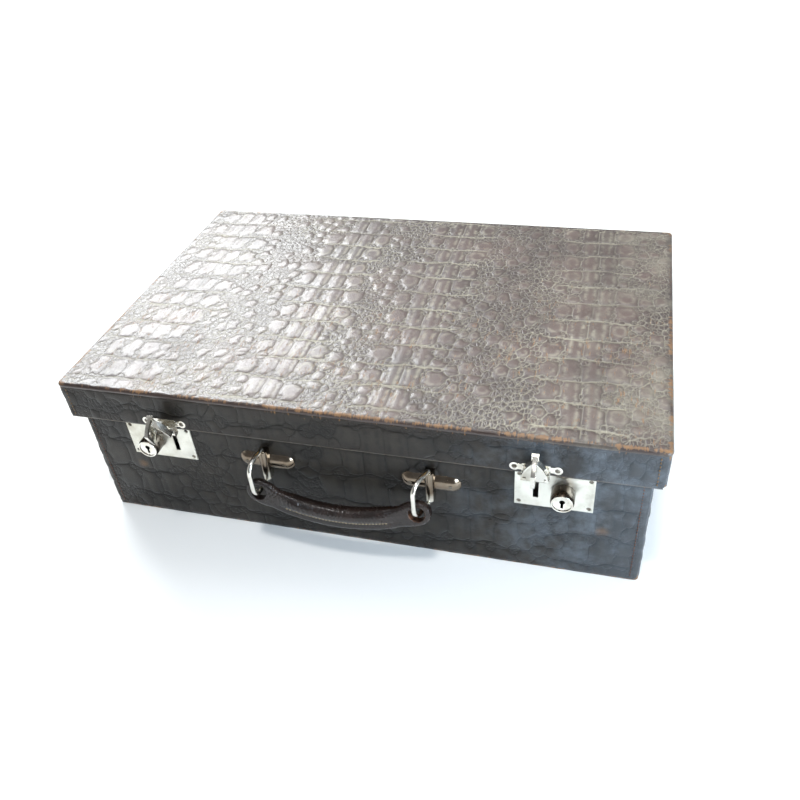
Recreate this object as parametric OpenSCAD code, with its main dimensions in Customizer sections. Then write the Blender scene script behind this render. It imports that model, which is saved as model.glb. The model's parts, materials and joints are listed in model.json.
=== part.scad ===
// Small hide attache case, lying flat: a tray-shaped base, a lid that overlaps it on
// all four sides, two nozzle locks with flip-up hasps, a leather handle on two D-rings,
// two riveted back hinges and two folding lid stays.
// Millimetres. +Z up, X along the width, the handle side faces -Y.
// Origin: middle of the whole object's footprint, on the surface it rests on.

/* [Case] */
// Outside width of the lid
case_w = 400; // [390:1:410]
// Outside depth of the lid
case_d = 268; // [262:1:276]
// Height over the closed case
case_h = 121; // [119:0.5:125]
// Height of the lid's walls
lid_h = 29; // [28:0.5:30]
// How far the base walls stand in from the lid's outside faces
inset = 6; // [6:0.25:6.5]
// How far the base walls rise inside the closed lid
overlap = 10; // [8:0.5:11]
// Corner radius, seen from above
corner_r = 3.5; // [3:0.5:6]

/* [Walls] */
// Thickness of the outer hide
leather_t = 1.2; // [1:0.1:1.4]
// Thickness of the boards
board_t = 3; // [2.8:0.1:3.2]
// Thickness of the lining
lining_t = 0.8; // [0.6:0.1:0.9]

/* [Locks] */
// Distance of each hasp and its slot from the middle of the case
hasp_x = 124.4; // [118:0.2:130]
// Length of a lock plate
plate_l = 49; // [48:0.5:50]
// Height of a lock plate
plate_hgt = 29; // [28:0.5:30]
// Height of the plate's middle above the ground
plate_z = 74; // [73.5:0.1:74.5]
// Radius of the lock nozzle
nozzle_r = 7.4; // [7.2:0.1:7.8]
// How far the nozzle stands out of the plate
nozzle_out = 10.5; // [9:0.5:12]
// How far the nozzle slides to lock
nozzle_travel = 4; // [3.8:0.1:4.2]
// Length of the hasp from its pin to the tip of its arch
hasp_l = 20.6; // [20:0.2:21]
// Opening angle of the left hasp at rest
hasp_open_l = 156; // [140:1:160]
// Opening angle of the right hasp at rest
hasp_open_r = 170; // [150:1:175]

/* [Handle] */
// Distance of each handle fitting from the middle of the case
fitting_x = 57.2; // [54:0.2:62]
// Height of the fittings' middle above the ground
fitting_z = 68; // [67:0.1:70]
// How far the D-rings stand out from their own pins
ring_out = 19; // [18:0.5:20]
// Radius of the ring wire
wire_r = 1.6; // [1.5:0.1:1.7]
// Turn of the left ring at rest, towards the left
ring_turn_l = 6; // [5:0.5:7]
// Turn of the right ring at rest, towards the left
ring_turn_r = 20; // [19:0.5:22]
// Radius of the grip at its middle
grip_r = 8.2; // [7.6:0.1:8.6]
// How far the middle of the grip lies beyond the line through its end holes
grip_sag = 12; // [10:0.5:14]
// Slope of the hanging handle below the horizontal
handle_slope = 75; // [72:1:80]

/* [Hinges and stays] */
// Distance of each back hinge from the middle of the case
hinge_x = 120; // [100:5:150]
// Length of a back hinge
hinge_l = 34; // [30:1:40]
// Distance of the lower stay pivot in front of the lid's hinge line
stay_u = 60; // [55:1:65]
// Depth of the lower stay pivot below the lid's hinge line
stay_drop = 45; // [40:1:50]
// Height of the upper stay pivot above the lid's hinge line
stay_rise = 19; // [18:0.5:20]

/* [Hidden] */
$fn = 48;
eps = 0.01;

base_w = case_w - 2 * inset;
base_d = case_d - 2 * inset;
lid_z = case_h - lid_h;
rim_z = lid_z + overlap;
front_y = -base_d / 2;
lid_front_y = -case_d / 2;
wall_t = leather_t + board_t;
seam_x = corner_r;
inner_r = max(corner_r - wall_t, 0.5);

// Locks
plate_t = 0.8;
slot_w = 3.4;
slot_h = 14;
hasp_pin_r = 0.9;
knuckle_r = 2.2;
pin_play = 0.06;
hasp_axis_y = lid_front_y - knuckle_r;
hasp_axis_z = lid_z - 1.4;
hasp_w = 16.4;
hasp_t = 1.2;
hasp_rim = 3.3;
hasp_rim_t = 1;
hasp_side_r = 26.4;
hasp_shoulder = 3;
hasp_knuckle_l = 10.8;
hasp_knuckle_gap = 0.3;
tab_w = 4.3;
tab_l = 3.2;
plate_knuckle_x = 7.1;
plate_knuckle_l = 2.8;
ear_z = 6.6;
ear_half = 13;
ear_r = 3;
ear_waist = 4.4;
ear_hole_r = 0.8;
plate_in = 13.2;
nozzle_x = hasp_x + 17;
nozzle_bevel = 0.7;
nozzle_bevel_l = 2;
face_rim = 1.6;
face_sunk = 0.8;
keyhole_r = 1.7;
keyhole_up = 1.2;
keyhole_deep = 8;
key_slot_w = 1.5;
key_slot_low = 3.8;
case_deep = 9;
case_wall = 0.8;
bolt_t = 1.6;
bolt_h = 10;
tongue_l = 5;
tongue_h = 4;
bolt_y = front_y + 1.4;
fin_t = 2.4;
staple_in_r = 13.6;
staple_out_r = 23.4;
staple_end = front_y + 5.4 - hasp_axis_y;
staple_top = 8.5;
rivet_in = 2.8;
rivet_r = 1.45;
rivet_sunk = 0.4;
bolt_slot_h = 5.2;
post_r = 3;
bolt_tip = hasp_x + fin_t / 2 + 0.8;
bolt_tail = nozzle_x + 6;
lock_case_l = 42;
lock_case_h = 21;
lock_case_x0 = hasp_x - plate_in + (plate_l - lock_case_l) / 2;

// Handle: the ring pins stand upright in the fittings, the handle turns about the
// line through both pins' middles and its end holes ride along the rings
dome_r = 8;
dome_t = 3.5;
fitting_l = 27;
fitting_rivet_r = 1.2;
knob_r = 3.1;
knob_h = 24;
pin_out = 4.2;
ring_pin_y = front_y - pin_out;
ring_half = knob_h / 2 + wire_r + 0.3;
ring_bend = 2;
ring_corner = 8;
hole_drop = 14;
hole_out = 11.5;
hole_left_x = -fitting_x - 1.6;
hole_right_x = fitting_x - 5.9;
hole_r = 5.5;
tab_r = 9;
tab_t = 6.2;
core_r = 3.2;
neck_in = 9;
neck_low = 3.2;
hole_span = hole_right_x - hole_left_x;
grip_arc_r = (pow(hole_span / 2, 2) + pow(grip_sag, 2)) / (2 * grip_sag);
grip_half_angle = asin(hole_span / 2 / grip_arc_r);
tube_half_angle = grip_half_angle * 0.62;

// Back hinges
leaf_t = 0.9;
lid_axis_y = case_d / 2 + 2.3;
lid_axis_z = lid_z - 0.5;
hinge_knuckle_r = 2.3;
hinge_pin_r = 0.9;
leaf_h = 14;
leaf_rivet_r = 1;
leaf_head_r = 1.9;
leaf_head_t = 0.6;
leaf_rivet_in = 5;
lid_rivet_up = 9;
base_rivet_down = 9.5;
knuckle_gap = 0.15;

// Lid stays: pivots, seen from the side, form a parallelogram with the lid's hinge line
stay_t = 1.2;
stud_head_r = 2.8;
stud_head_t = 0.8;
stay_w = 7;
stud_r = 1.6;
stay_wall_x = base_w / 2 - wall_t - lining_t;
lower_arm_x = stay_wall_x - 0.5 - stay_t;
upper_arm_x = lower_arm_x - 0.4 - stay_t;
lower_pivot = [lid_axis_y - stay_u, lid_axis_z - stay_drop];
upper_pivot = [lid_axis_y - stay_u, lid_axis_z + stay_rise];
elbow = [lid_axis_y - 2 * stay_u, lid_axis_z - stay_drop + stay_rise];

// The footprint runs from the left hasp's staple, or the grip, to the back hinges
staple_front = -hasp_axis_y + staple_out_r * sin(hasp_open_l - asin(staple_end / staple_out_r));
grip_front = -ring_pin_y + hole_out + grip_sag * cos(handle_slope) + grip_r;
hinge_back = lid_axis_y + hinge_knuckle_r;
case_y = (max(staple_front, grip_front) - hinge_back) / 2;

module place() { translate([0, case_y, 0]) children(); }
module left_side() { mirror([1, 0, 0]) children(); }

module rounded(w, d, r) {
  square([w - 2 * r, d], center = true);
  square([w, d - 2 * r], center = true);
  for (x = [-1, 1], y = [-1, 1])
    translate([x * (w / 2 - r), y * (d / 2 - r)]) circle(r);
}
module slab(w, d, r, z0, z1) {
  translate([0, 0, z0]) linear_extrude(z1 - z0) rounded(w, d, r);
}
module ring_wall(w, d, r, t, z0, z1) {
  difference() {
    slab(w, d, r, z0, z1);
    slab(w - 2 * t, d - 2 * t, max(r - t, 0.5), z0 - 1, z1 + 1);
  }
}
// A thin tray: sheet against the boards, open away from its floor
module tray(w, d, r, t, z0, z1, floor_z0, floor_z1) {
  ring_wall(w, d, r, t, z0, z1);
  slab(w - t, d - t, r - t / 2, floor_z0, floor_z1);
}
// The side hides wrap the corners, the front and back hides butt against them
module hide_side(w, d, z0, z1, s) {
  intersection() {
    ring_wall(w, d, corner_r, leather_t, z0, z1);
    translate([s > 0 ? w / 2 - seam_x : -w / 2 - 1, -d / 2 - 1, z0 - 1])
      cube([seam_x + 1, d + 2, z1 - z0 + 2]);
  }
}
module hide_end(w, d, z0, z1, s) {
  translate([-w / 2 + seam_x, s > 0 ? d / 2 - leather_t : -d / 2, z0])
    cube([w - 2 * seam_x, leather_t, z1 - z0]);
}
module along_x(r, l) { rotate([0, 90, 0]) cylinder(r = r, h = l, center = true); }
module along_y(r, y0, y1) { translate([0, y1, 0]) rotate([90, 0, 0]) cylinder(r = r, h = y1 - y0); }

// ---------------------------------------------------------------- base
module lock_cutouts(y0, y1) {
  for (s = [-1, 1])
    translate([s > 0 ? lock_case_x0 : -lock_case_x0 - lock_case_l, y0, plate_z - lock_case_h / 2])
      cube([lock_case_l, y1 - y0, lock_case_h]);
}
module stud_holes() {
  for (s = [-1, 1])
    translate([s * stay_wall_x, lower_pivot[0], lower_pivot[1]]) along_x(stud_r, 2 * wall_t);
}
module base_frame() {
  color("tan") place() difference() {
    ring_wall(base_w - 2 * leather_t, base_d - 2 * leather_t, corner_r - leather_t, board_t,
      leather_t, rim_z);
    lock_cutouts(front_y - 1, front_y + wall_t + 1);
    stud_holes();
  }
}
module base_bottom_board() {
  color("tan") place()
    slab(base_w - 2 * wall_t, base_d - 2 * wall_t, inner_r, leather_t, wall_t);
}
module base_leather_bottom() {
  color("dimgray") place() slab(base_w, base_d, corner_r, 0, leather_t);
}
module base_leather_front() {
  color("dimgray") place() difference() {
    hide_end(base_w, base_d, leather_t, rim_z, -1);
    lock_cutouts(front_y - 1, front_y + leather_t + 1);
  }
}
module base_leather_back() { color("dimgray") place() hide_end(base_w, base_d, leather_t, rim_z, 1); }
module base_side(s) { color("dimgray") place() hide_side(base_w, base_d, leather_t, rim_z, s); }
module base_leather_left() { base_side(-1); }
module base_leather_right() { base_side(1); }
module base_lining() {
  color("darkkhaki") place() difference() {
    tray(base_w - 2 * wall_t, base_d - 2 * wall_t, inner_r + lining_t, lining_t,
      wall_t, rim_z, wall_t, wall_t + lining_t);
    lock_cutouts(front_y + wall_t - 1, front_y + wall_t + lining_t + 1);
    stud_holes();
  }
}

// ---------------------------------------------------------------- lid
module lid_stud_holes() {
  for (s = [-1, 1])
    translate([s * (case_w / 2 - wall_t), upper_pivot[0], upper_pivot[1]]) along_x(stud_r, 4);
}
module lid_frame() {
  color("tan") place() difference() {
    ring_wall(case_w - 2 * leather_t, case_d - 2 * leather_t, corner_r - leather_t, board_t,
      lid_z, case_h - leather_t);
    lid_stud_holes();
  }
}
module lid_top_board() {
  color("tan") place() slab(case_w - 2 * wall_t, case_d - 2 * wall_t, inner_r,
    case_h - wall_t, case_h - leather_t);
}
module lid_leather_top() {
  color("gray") place() slab(case_w, case_d, corner_r, case_h - leather_t, case_h);
}
module lid_end(s) {
  color("dimgray") place() hide_end(case_w, case_d, lid_z, case_h - leather_t, s);
}
module lid_side(s) {
  color("dimgray") place() hide_side(case_w, case_d, lid_z, case_h - leather_t, s);
}
module lid_leather_front() { lid_end(-1); }
module lid_leather_back() { lid_end(1); }
module lid_leather_left() { lid_side(-1); }
module lid_leather_right() { lid_side(1); }
module lid_lining() {
  color("darkkhaki") place() difference() {
    tray(case_w - 2 * wall_t, case_d - 2 * wall_t, inner_r + lining_t, lining_t,
      lid_z, case_h - wall_t, case_h - wall_t - lining_t, case_h - wall_t);
    lid_stud_holes();
  }
}

// ---------------------------------------------------------------- locks (right side drawn)
module plate_corners() {
  for (x = [rivet_in, plate_l - rivet_in], z = [rivet_in - plate_hgt / 2, plate_hgt / 2 - rivet_in])
    translate([hasp_x - plate_in + x, 0, plate_z + z]) children();
}
module lock_plate() {
  y0 = front_y - plate_t - 1;
  post_hole_r = post_r + 0.1;
  difference() {
    translate([hasp_x - plate_in, front_y - plate_t, plate_z - plate_hgt / 2])
      cube([plate_l, plate_t, plate_hgt]);
    translate([hasp_x - slot_w / 2, y0, plate_z - slot_h / 2]) cube([slot_w, plate_t + 2, slot_h]);
    for (dx = [0, -nozzle_travel])
      translate([nozzle_x + dx, 0, plate_z]) along_y(post_hole_r, y0, front_y + 1);
    translate([nozzle_x - nozzle_travel, y0, plate_z - post_hole_r])
      cube([nozzle_travel, plate_t + 2, 2 * post_hole_r]);
    plate_corners() along_y(rivet_r, y0, front_y + 1);
  }
}
module lock_plate_left() { color("silver") place() left_side() lock_plate(); }
module lock_plate_right() { color("silver") place() lock_plate(); }
module lock_case() {
  difference() {
    translate([lock_case_x0, front_y, plate_z - lock_case_h / 2])
      cube([lock_case_l, case_deep, lock_case_h]);
    translate([lock_case_x0 + case_wall, front_y - 1, plate_z - lock_case_h / 2 + case_wall])
      cube([lock_case_l - 2 * case_wall, case_deep + 1 - case_wall, lock_case_h - 2 * case_wall]);
  }
}
module lock_case_left() { color("slategray") place() left_side() lock_case(); }
module lock_case_right() { color("slategray") place() lock_case(); }
module lock_rivets() {
  color("gray") place() for (s = [0, 1]) mirror([s, 0, 0]) plate_corners()
    along_y(rivet_r, front_y - plate_t + rivet_sunk, front_y);
}
// Bolt: a plate behind the lock plate with a tongue that crosses the slot when locked
module lock_bolt() {
  translate([bolt_tip, bolt_y, plate_z - tongue_h / 2]) cube([tongue_l + 1, bolt_t, tongue_h]);
  translate([bolt_tip + tongue_l, bolt_y, plate_z - bolt_h / 2])
    cube([bolt_tail - bolt_tip - tongue_l, bolt_t, bolt_h]);
}
module lock_bolt_left() { color("darkgray") place() left_side() lock_bolt(); }
module lock_bolt_right() { color("darkgray") place() lock_bolt(); }
module nozzle() {
  face_y = front_y - plate_t - nozzle_out;
  difference() {
    translate([nozzle_x, 0, plate_z]) {
      along_y(nozzle_r, face_y + nozzle_bevel_l, front_y - plate_t - 0.1);
      translate([0, face_y + nozzle_bevel_l, 0]) rotate([90, 0, 0])
        cylinder(r1 = nozzle_r, r2 = nozzle_r - nozzle_bevel, h = nozzle_bevel_l);
      along_y(post_r, front_y - plate_t - 0.2, bolt_y);
    }
    translate([nozzle_x, 0, plate_z]) {
      along_y(nozzle_r - face_rim, face_y - 1, face_y + face_sunk);
      translate([0, 0, keyhole_up]) along_y(keyhole_r, face_y - 1, face_y + keyhole_deep);
      translate([-key_slot_w / 2, face_y - 1, -key_slot_low])
        cube([key_slot_w, keyhole_deep + 1, key_slot_low + keyhole_up]);
    }
  }
}
module lock_nozzle_left() { color("silver") place() left_side() nozzle(); }
module lock_nozzle_right() { color("silver") place() nozzle(); }
// Bent leaf that drives the bolt home
module lock_spring() {
  leaf = 0.5;
  low = -bolt_h / 2;
  foot = 3;
  root = 1.5;
  foot_l = 5;
  x0 = bolt_tail + 0.1;
  x1 = lock_case_x0 + lock_case_l - case_wall;
  translate([0, bolt_y, plate_z]) rotate([-90, 0, 0]) linear_extrude(bolt_t)
    polygon([[x0, low], [x0 + leaf, low], [x1 - leaf, foot], [x1, foot], [x1, foot + foot_l],
      [x1 - leaf, foot + foot_l], [x1 - leaf, foot + root]]);
}
module lock_spring_left() { color("steelblue") place() left_side() lock_spring(); }
module lock_spring_right() { color("steelblue") place() lock_spring(); }

// ---------------------------------------------------------------- hasps
module at_hasp() { translate([hasp_x, hasp_axis_y, hasp_axis_z]) children(); }
module at_ears() {
  for (s = [-1, 1]) translate([hasp_x + s * ear_half, 0, hasp_axis_z + ear_z]) children();
}
module hasp_plate() {
  y0 = lid_front_y - plate_t;
  ear_mid = hasp_axis_z + ear_z;
  knuckle_end = plate_knuckle_x + plate_knuckle_l / 2;
  difference() {
    union() {
      at_ears() along_y(ear_r, y0, lid_front_y);
      translate([hasp_x - ear_half, y0, ear_mid - ear_waist / 2]) cube([2 * ear_half, plate_t, ear_waist]);
      translate([hasp_x - knuckle_end, y0, lid_z]) cube([2 * knuckle_end, plate_t, ear_mid + ear_r - lid_z]);
      at_hasp() for (s = [-1, 1]) translate([s * plate_knuckle_x, 0, 0]) {
        along_x(knuckle_r, plate_knuckle_l);
        translate([-plate_knuckle_l / 2, knuckle_r - plate_t, 0]) cube([plate_knuckle_l, plate_t, 2]);
      }
    }
    at_hasp() along_x(hasp_pin_r, 2 * hasp_w);
    at_hasp() along_x(knuckle_r + hasp_knuckle_gap, hasp_knuckle_l + 2 * hasp_knuckle_gap);
    at_ears() along_y(ear_hole_r, y0 - 1, lid_front_y + 1);
  }
}
module hasp_plate_left() { color("silver") place() left_side() hasp_plate(); }
module hasp_plate_right() { color("silver") place() hasp_plate(); }
module hasp_pin() { at_hasp() along_x(hasp_pin_r, 2 * plate_knuckle_x + plate_knuckle_l); }
module hasp_pin_left() { color("gray") place() left_side() hasp_pin(); }
module hasp_pin_right() { color("gray") place() hasp_pin(); }
module hasp_rivets() {
  y0 = lid_front_y - plate_t;
  head_r = 1.6;
  head_t = 0.9;
  ball_r = 2;
  color("gray") place() for (m = [0, 1]) mirror([m, 0, 0]) at_ears() {
    along_y(ear_hole_r, y0, lid_front_y);
    translate([0, y0, 0]) intersection() {
      rotate([90, 0, 0]) cylinder(r = head_r, h = head_t);
      translate([0, ball_r - head_t, 0]) sphere(ball_r);
    }
  }
}
// Hasp hanging down from its pin: a hood with arched sides and a turned-back rim, a rolled
// knuckle, a finger tab and a slotted staple whose edges are arcs about the pin
module hood_outline(in) {
  intersection() {
    translate([hasp_side_r - hasp_w / 2, -hasp_shoulder]) circle(hasp_side_r - in);
    translate([hasp_w / 2 - hasp_side_r, -hasp_shoulder]) circle(hasp_side_r - in);
    translate([-hasp_w, in - hasp_l]) square([2 * hasp_w, hasp_l - in - hasp_shoulder]);
  }
}
module hasp_staple() {
  y0 = knuckle_r - hasp_t + 0.2;
  intersection() {
    difference() {
      along_x(staple_out_r, fin_t);
      along_x(staple_in_r, fin_t + 2);
    }
    translate([-fin_t, y0, -staple_out_r - 1])
      cube([2 * fin_t, staple_end - y0, staple_out_r + 1 - staple_top]);
  }
}
module hasp_shape() {
  y_in = knuckle_r;
  y_out = knuckle_r - hasp_t;
  lip = 1.2;
  difference() {
    union() {
      along_x(knuckle_r, hasp_knuckle_l);
      translate([-hasp_knuckle_l / 2, y_out, -hasp_shoulder - 0.2])
        cube([hasp_knuckle_l, hasp_t, hasp_shoulder + 0.2]);
      translate([0, y_in, 0]) rotate([90, 0, 0]) linear_extrude(hasp_t) hood_outline(0);
      translate([0, y_in + hasp_rim, 0]) rotate([90, 0, 0]) linear_extrude(hasp_rim + eps)
        difference() {
          hood_outline(0);
          hood_outline(hasp_rim_t);
          translate([-hasp_w, -hasp_shoulder - 1]) square([2 * hasp_w, 2]);
        }
      translate([-tab_w / 2, y_out, -hasp_l - tab_l]) cube([tab_w, hasp_t, tab_l + 0.8]);
      translate([-tab_w / 2, y_out - lip, -hasp_l - tab_l]) cube([tab_w, lip + 0.1, lip]);
      hasp_staple();
    }
    translate([-hasp_w / 2, bolt_y - 0.5 - hasp_axis_y, plate_z - bolt_slot_h / 2 - hasp_axis_z])
      cube([hasp_w, bolt_t + 1, bolt_slot_h]);
    along_x(hasp_pin_r + pin_play, 2 * hasp_w);
  }
}
module hasp_left() {
  color("silver") place() left_side() at_hasp() rotate([-hasp_open_l, 0, 0]) hasp_shape();
}
module hasp_right() { color("silver") place() at_hasp() rotate([-hasp_open_r, 0, 0]) hasp_shape(); }

// ---------------------------------------------------------------- handle fittings
module fitting() {
  translate([fitting_x, front_y, fitting_z]) difference() {
    union() {
      intersection() {
        translate([0, dome_r - dome_t, 0]) {
          along_x(dome_r, fitting_l);
          for (s = [-1, 1]) translate([s * fitting_l / 2, 0, 0]) sphere(dome_r);
        }
        translate([-40, -dome_t - 1, -20]) cube([80, dome_t + 1, 40]);
      }
      translate([0, -pin_out, 0]) cylinder(r = knob_r, h = knob_h, center = true);
      translate([-knob_r, -pin_out, -knob_h / 2]) cube([2 * knob_r, pin_out, knob_h]);
    }
    translate([0, -pin_out, 0]) cylinder(r = wire_r + 0.07, h = knob_h + 2, center = true);
    for (s = [-1, 1]) translate([s * fitting_l / 2, 0, 0]) along_y(fitting_rivet_r, -10, 1);
  }
}
module handle_fitting_left() { color("silver") place() left_side() fitting(); }
module handle_fitting_right() { color("silver") place() fitting(); }
module handle_rivets() {
  color("gray") place() for (m = [-1, 1], s = [-1, 1])
    translate([m * fitting_x + s * fitting_l / 2, front_y, fitting_z])
      along_y(fitting_rivet_r, -dome_t - 0.35, 0);
}
// D-ring in the plane of +X, its pin on the Z axis
module bend(r, a0) {
  rotate([90, 0, 0]) rotate([0, 0, a0]) rotate_extrude(angle = 90) translate([r, 0]) circle(wire_r);
}
module ring_shape() {
  leg = ring_half - ring_bend;
  outer = ring_half - ring_corner;
  cylinder(r = wire_r, h = 2 * leg, center = true);
  for (s = [-1, 1]) mirror([0, 0, s < 0 ? 1 : 0]) {
    translate([ring_bend, 0, leg]) bend(ring_bend, 90);
    translate([(ring_bend + ring_out - ring_corner) / 2, 0, ring_half])
      along_x(wire_r, ring_out - ring_corner - ring_bend);
    translate([ring_out - ring_corner, 0, outer]) bend(ring_corner, 0);
  }
  translate([ring_out, 0, 0]) cylinder(r = wire_r, h = 2 * outer, center = true);
}
module ring_left() {
  color("silver") place() translate([-fitting_x, ring_pin_y, fitting_z])
    rotate([0, 0, -90 - ring_turn_l]) ring_shape();
}
module ring_right() {
  color("silver") place() translate([fitting_x, ring_pin_y, fitting_z])
    rotate([0, 0, -90 - ring_turn_r]) ring_shape();
}

// ---------------------------------------------------------------- handle
// Drawn in the XY plane, hole line on the X axis, grip bulging to -Y, then hung
module hang() {
  translate([(hole_left_x + hole_right_x) / 2, ring_pin_y - hole_out, fitting_z - hole_drop])
    rotate([handle_slope, 0, 0]) children();
}
module grip_arc(r, half) {
  translate([0, grip_arc_r - grip_sag, 0]) rotate([0, 0, -90 - half])
    rotate_extrude(angle = 2 * half) translate([grip_arc_r, 0]) circle(r);
}
module tab_disc(x, y, r) {
  translate([x, y, 0]) cylinder(r = r, h = tab_t, center = true, $fn = 32);
}
module grip_end(s) {
  tab_x = s * hole_span / 2;
  neck = [s * grip_arc_r * sin(tube_half_angle),
    grip_arc_r - grip_sag - grip_arc_r * cos(tube_half_angle), 0];
  difference() {
    union() {
      hull() {
        translate(neck) rotate([0, 0, s * tube_half_angle]) rotate([0, 90, 0])
          cylinder(r = grip_r - 0.05, h = 0.1, center = true, $fn = 32);
        tab_disc(tab_x - s * neck_in, -neck_low, tab_r - 2);
      }
      hull() {
        tab_disc(tab_x - s * neck_in, -neck_low, tab_r - 2);
        tab_disc(tab_x, 0, tab_r);
      }
    }
    translate([tab_x, 0, 0]) cylinder(r = hole_r, h = tab_t + 2, center = true);
  }
}
module handle_grip() {
  color("saddlebrown") place() hang() difference() {
    union() {
      grip_arc(grip_r, tube_half_angle);
      for (s = [-1, 1]) grip_end(s);
    }
    grip_arc(core_r, tube_half_angle);
  }
}
module handle_core() { color("wheat") place() hang() grip_arc(core_r, tube_half_angle); }

// ---------------------------------------------------------------- back hinges
module at_hinge(s) { translate([s * hinge_x, lid_axis_y, lid_axis_z]) children(); }
mid_l = hinge_l * 0.4;
end_l = (hinge_l - mid_l) / 2 - knuckle_gap;
leaf_rivet_x = hinge_l / 2 - leaf_rivet_in;
module lid_leaf(s) {
  difference() {
    at_hinge(s) {
      along_x(hinge_knuckle_r, mid_l);
      translate([-mid_l / 2, -hinge_knuckle_r, 0]) cube([mid_l, leaf_t, 5]);
      translate([-hinge_l / 2, -hinge_knuckle_r, 3]) cube([hinge_l, leaf_t, leaf_h - 3]);
    }
    at_hinge(s) along_x(hinge_pin_r + pin_play, hinge_l + 2);
    lid_leaf_rivets(s) along_y(leaf_rivet_r, -2, 4);
  }
}
module lid_leaf_rivets(s) {
  for (x = [-1, 1])
    translate([s * hinge_x + x * leaf_rivet_x, case_d / 2, lid_axis_z + lid_rivet_up]) children();
}
module hinge_lid_leaf_left() { color("silver") place() lid_leaf(-1); }
module hinge_lid_leaf_right() { color("silver") place() lid_leaf(1); }
module base_leaf_rivets(s) {
  for (x = [-1, 1])
    translate([s * hinge_x + x * leaf_rivet_x, base_d / 2, lid_axis_z - base_rivet_down]) children();
}
module base_leaf(s) {
  back = base_d / 2 - lid_axis_y;
  difference() {
    at_hinge(s) {
      for (e = [-1, 1]) translate([e * (hinge_l / 2 - end_l / 2), 0, 0]) {
        along_x(hinge_knuckle_r, end_l);
        translate([-end_l / 2, back, -hinge_knuckle_r]) cube([end_l, -back, leaf_t]);
      }
      translate([-hinge_l / 2, back, -hinge_knuckle_r - leaf_h + leaf_t + 0.5])
        cube([hinge_l, leaf_t, leaf_h - 1]);
      for (e = [-1, 1]) translate([e * (hinge_l / 2 - end_l / 2) - end_l / 2, back, -hinge_knuckle_r - 1])
        cube([end_l, leaf_t, 1 + leaf_t]);
    }
    at_hinge(s) along_x(hinge_pin_r, hinge_l + 2);
    base_leaf_rivets(s) along_y(leaf_rivet_r, -2, 4);
  }
}
module hinge_base_leaf_left() { color("silver") place() base_leaf(-1); }
module hinge_base_leaf_right() { color("silver") place() base_leaf(1); }
module hinge_pin_left() { color("gray") place() at_hinge(-1) along_x(hinge_pin_r, hinge_l); }
module hinge_pin_right() { color("gray") place() at_hinge(1) along_x(hinge_pin_r, hinge_l); }
module leaf_rivet() {
  along_y(leaf_rivet_r, 0, leaf_t);
  along_y(leaf_head_r, leaf_t, leaf_t + leaf_head_t);
}
module hinge_lid_rivets() { color("gray") place() for (s = [-1, 1]) lid_leaf_rivets(s) leaf_rivet(); }
module hinge_base_rivets() { color("gray") place() for (s = [-1, 1]) base_leaf_rivets(s) leaf_rivet(); }

// ---------------------------------------------------------------- lid stays
// A stud runs along X from the wall at x0 to its head, which ends at x1
module stud(pivot, x0, x1) {
  for (s = [0, 1]) mirror([s, 0, 0]) translate([0, pivot[0], pivot[1]]) {
    translate([(x0 + x1) / 2, 0, 0]) along_x(stud_r, x0 - x1);
    translate([x1 + stud_head_t / 2, 0, 0]) along_x(stud_head_r, stud_head_t);
  }
}
module stay_base_studs() {
  color("gray") place() stud(lower_pivot, stay_wall_x + lining_t + 1, lower_arm_x - 1.1);
}
module stay_lid_studs() {
  color("gray") place() {
    stud(upper_pivot, case_w / 2 - wall_t + 1, upper_arm_x - 1.1);
    for (s = [0, 1]) mirror([s, 0, 0]) translate([0, upper_pivot[0], upper_pivot[1]])
      translate([(case_w / 2 - wall_t - lining_t + upper_arm_x + stay_t + 0.3) / 2, 0, 0])
        along_x(3, case_w / 2 - wall_t - lining_t - upper_arm_x - stay_t - 0.3);
  }
}
module arm(a, b, x, hole_a, hole_b) {
  v = b - a;
  translate([x, 0, 0]) difference() {
    union() {
      for (p = [a, b]) translate([stay_t / 2, p[0], p[1]]) along_x(stay_w / 2, stay_t);
      translate([0, a[0], a[1]]) rotate([atan2(v[1], v[0]), 0, 0])
        translate([0, 0, -stay_w / 2]) cube([stay_t, norm(v), stay_w]);
    }
    translate([0, a[0], a[1]]) along_x(hole_a, 10);
    translate([0, b[0], b[1]]) along_x(hole_b, 10);
  }
}
module lower_arm() { arm(lower_pivot, elbow, lower_arm_x, stud_r + pin_play, stud_r); }
module upper_arm() { arm(upper_pivot, elbow, upper_arm_x, stud_r + pin_play, stud_r + 0.4); }
module stay_lower_arm_left() { color("silver") place() left_side() lower_arm(); }
module stay_lower_arm_right() { color("silver") place() lower_arm(); }
module stay_upper_arm_left() { color("silver") place() left_side() upper_arm(); }
module stay_upper_arm_right() { color("silver") place() upper_arm(); }
module elbow_rivet() {
  translate([0, elbow[0], elbow[1]]) {
    translate([(lower_arm_x + stay_t + upper_arm_x - 0.4) / 2, 0, 0])
      along_x(stud_r, lower_arm_x + stay_t - upper_arm_x + 0.4);
    translate([upper_arm_x - 0.7, 0, 0]) along_x(stud_head_r, stud_head_t);
  }
}
module stay_elbow_rivet_left() { color("gray") place() left_side() elbow_rivet(); }
module stay_elbow_rivet_right() { color("gray") place() elbow_rivet(); }

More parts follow.
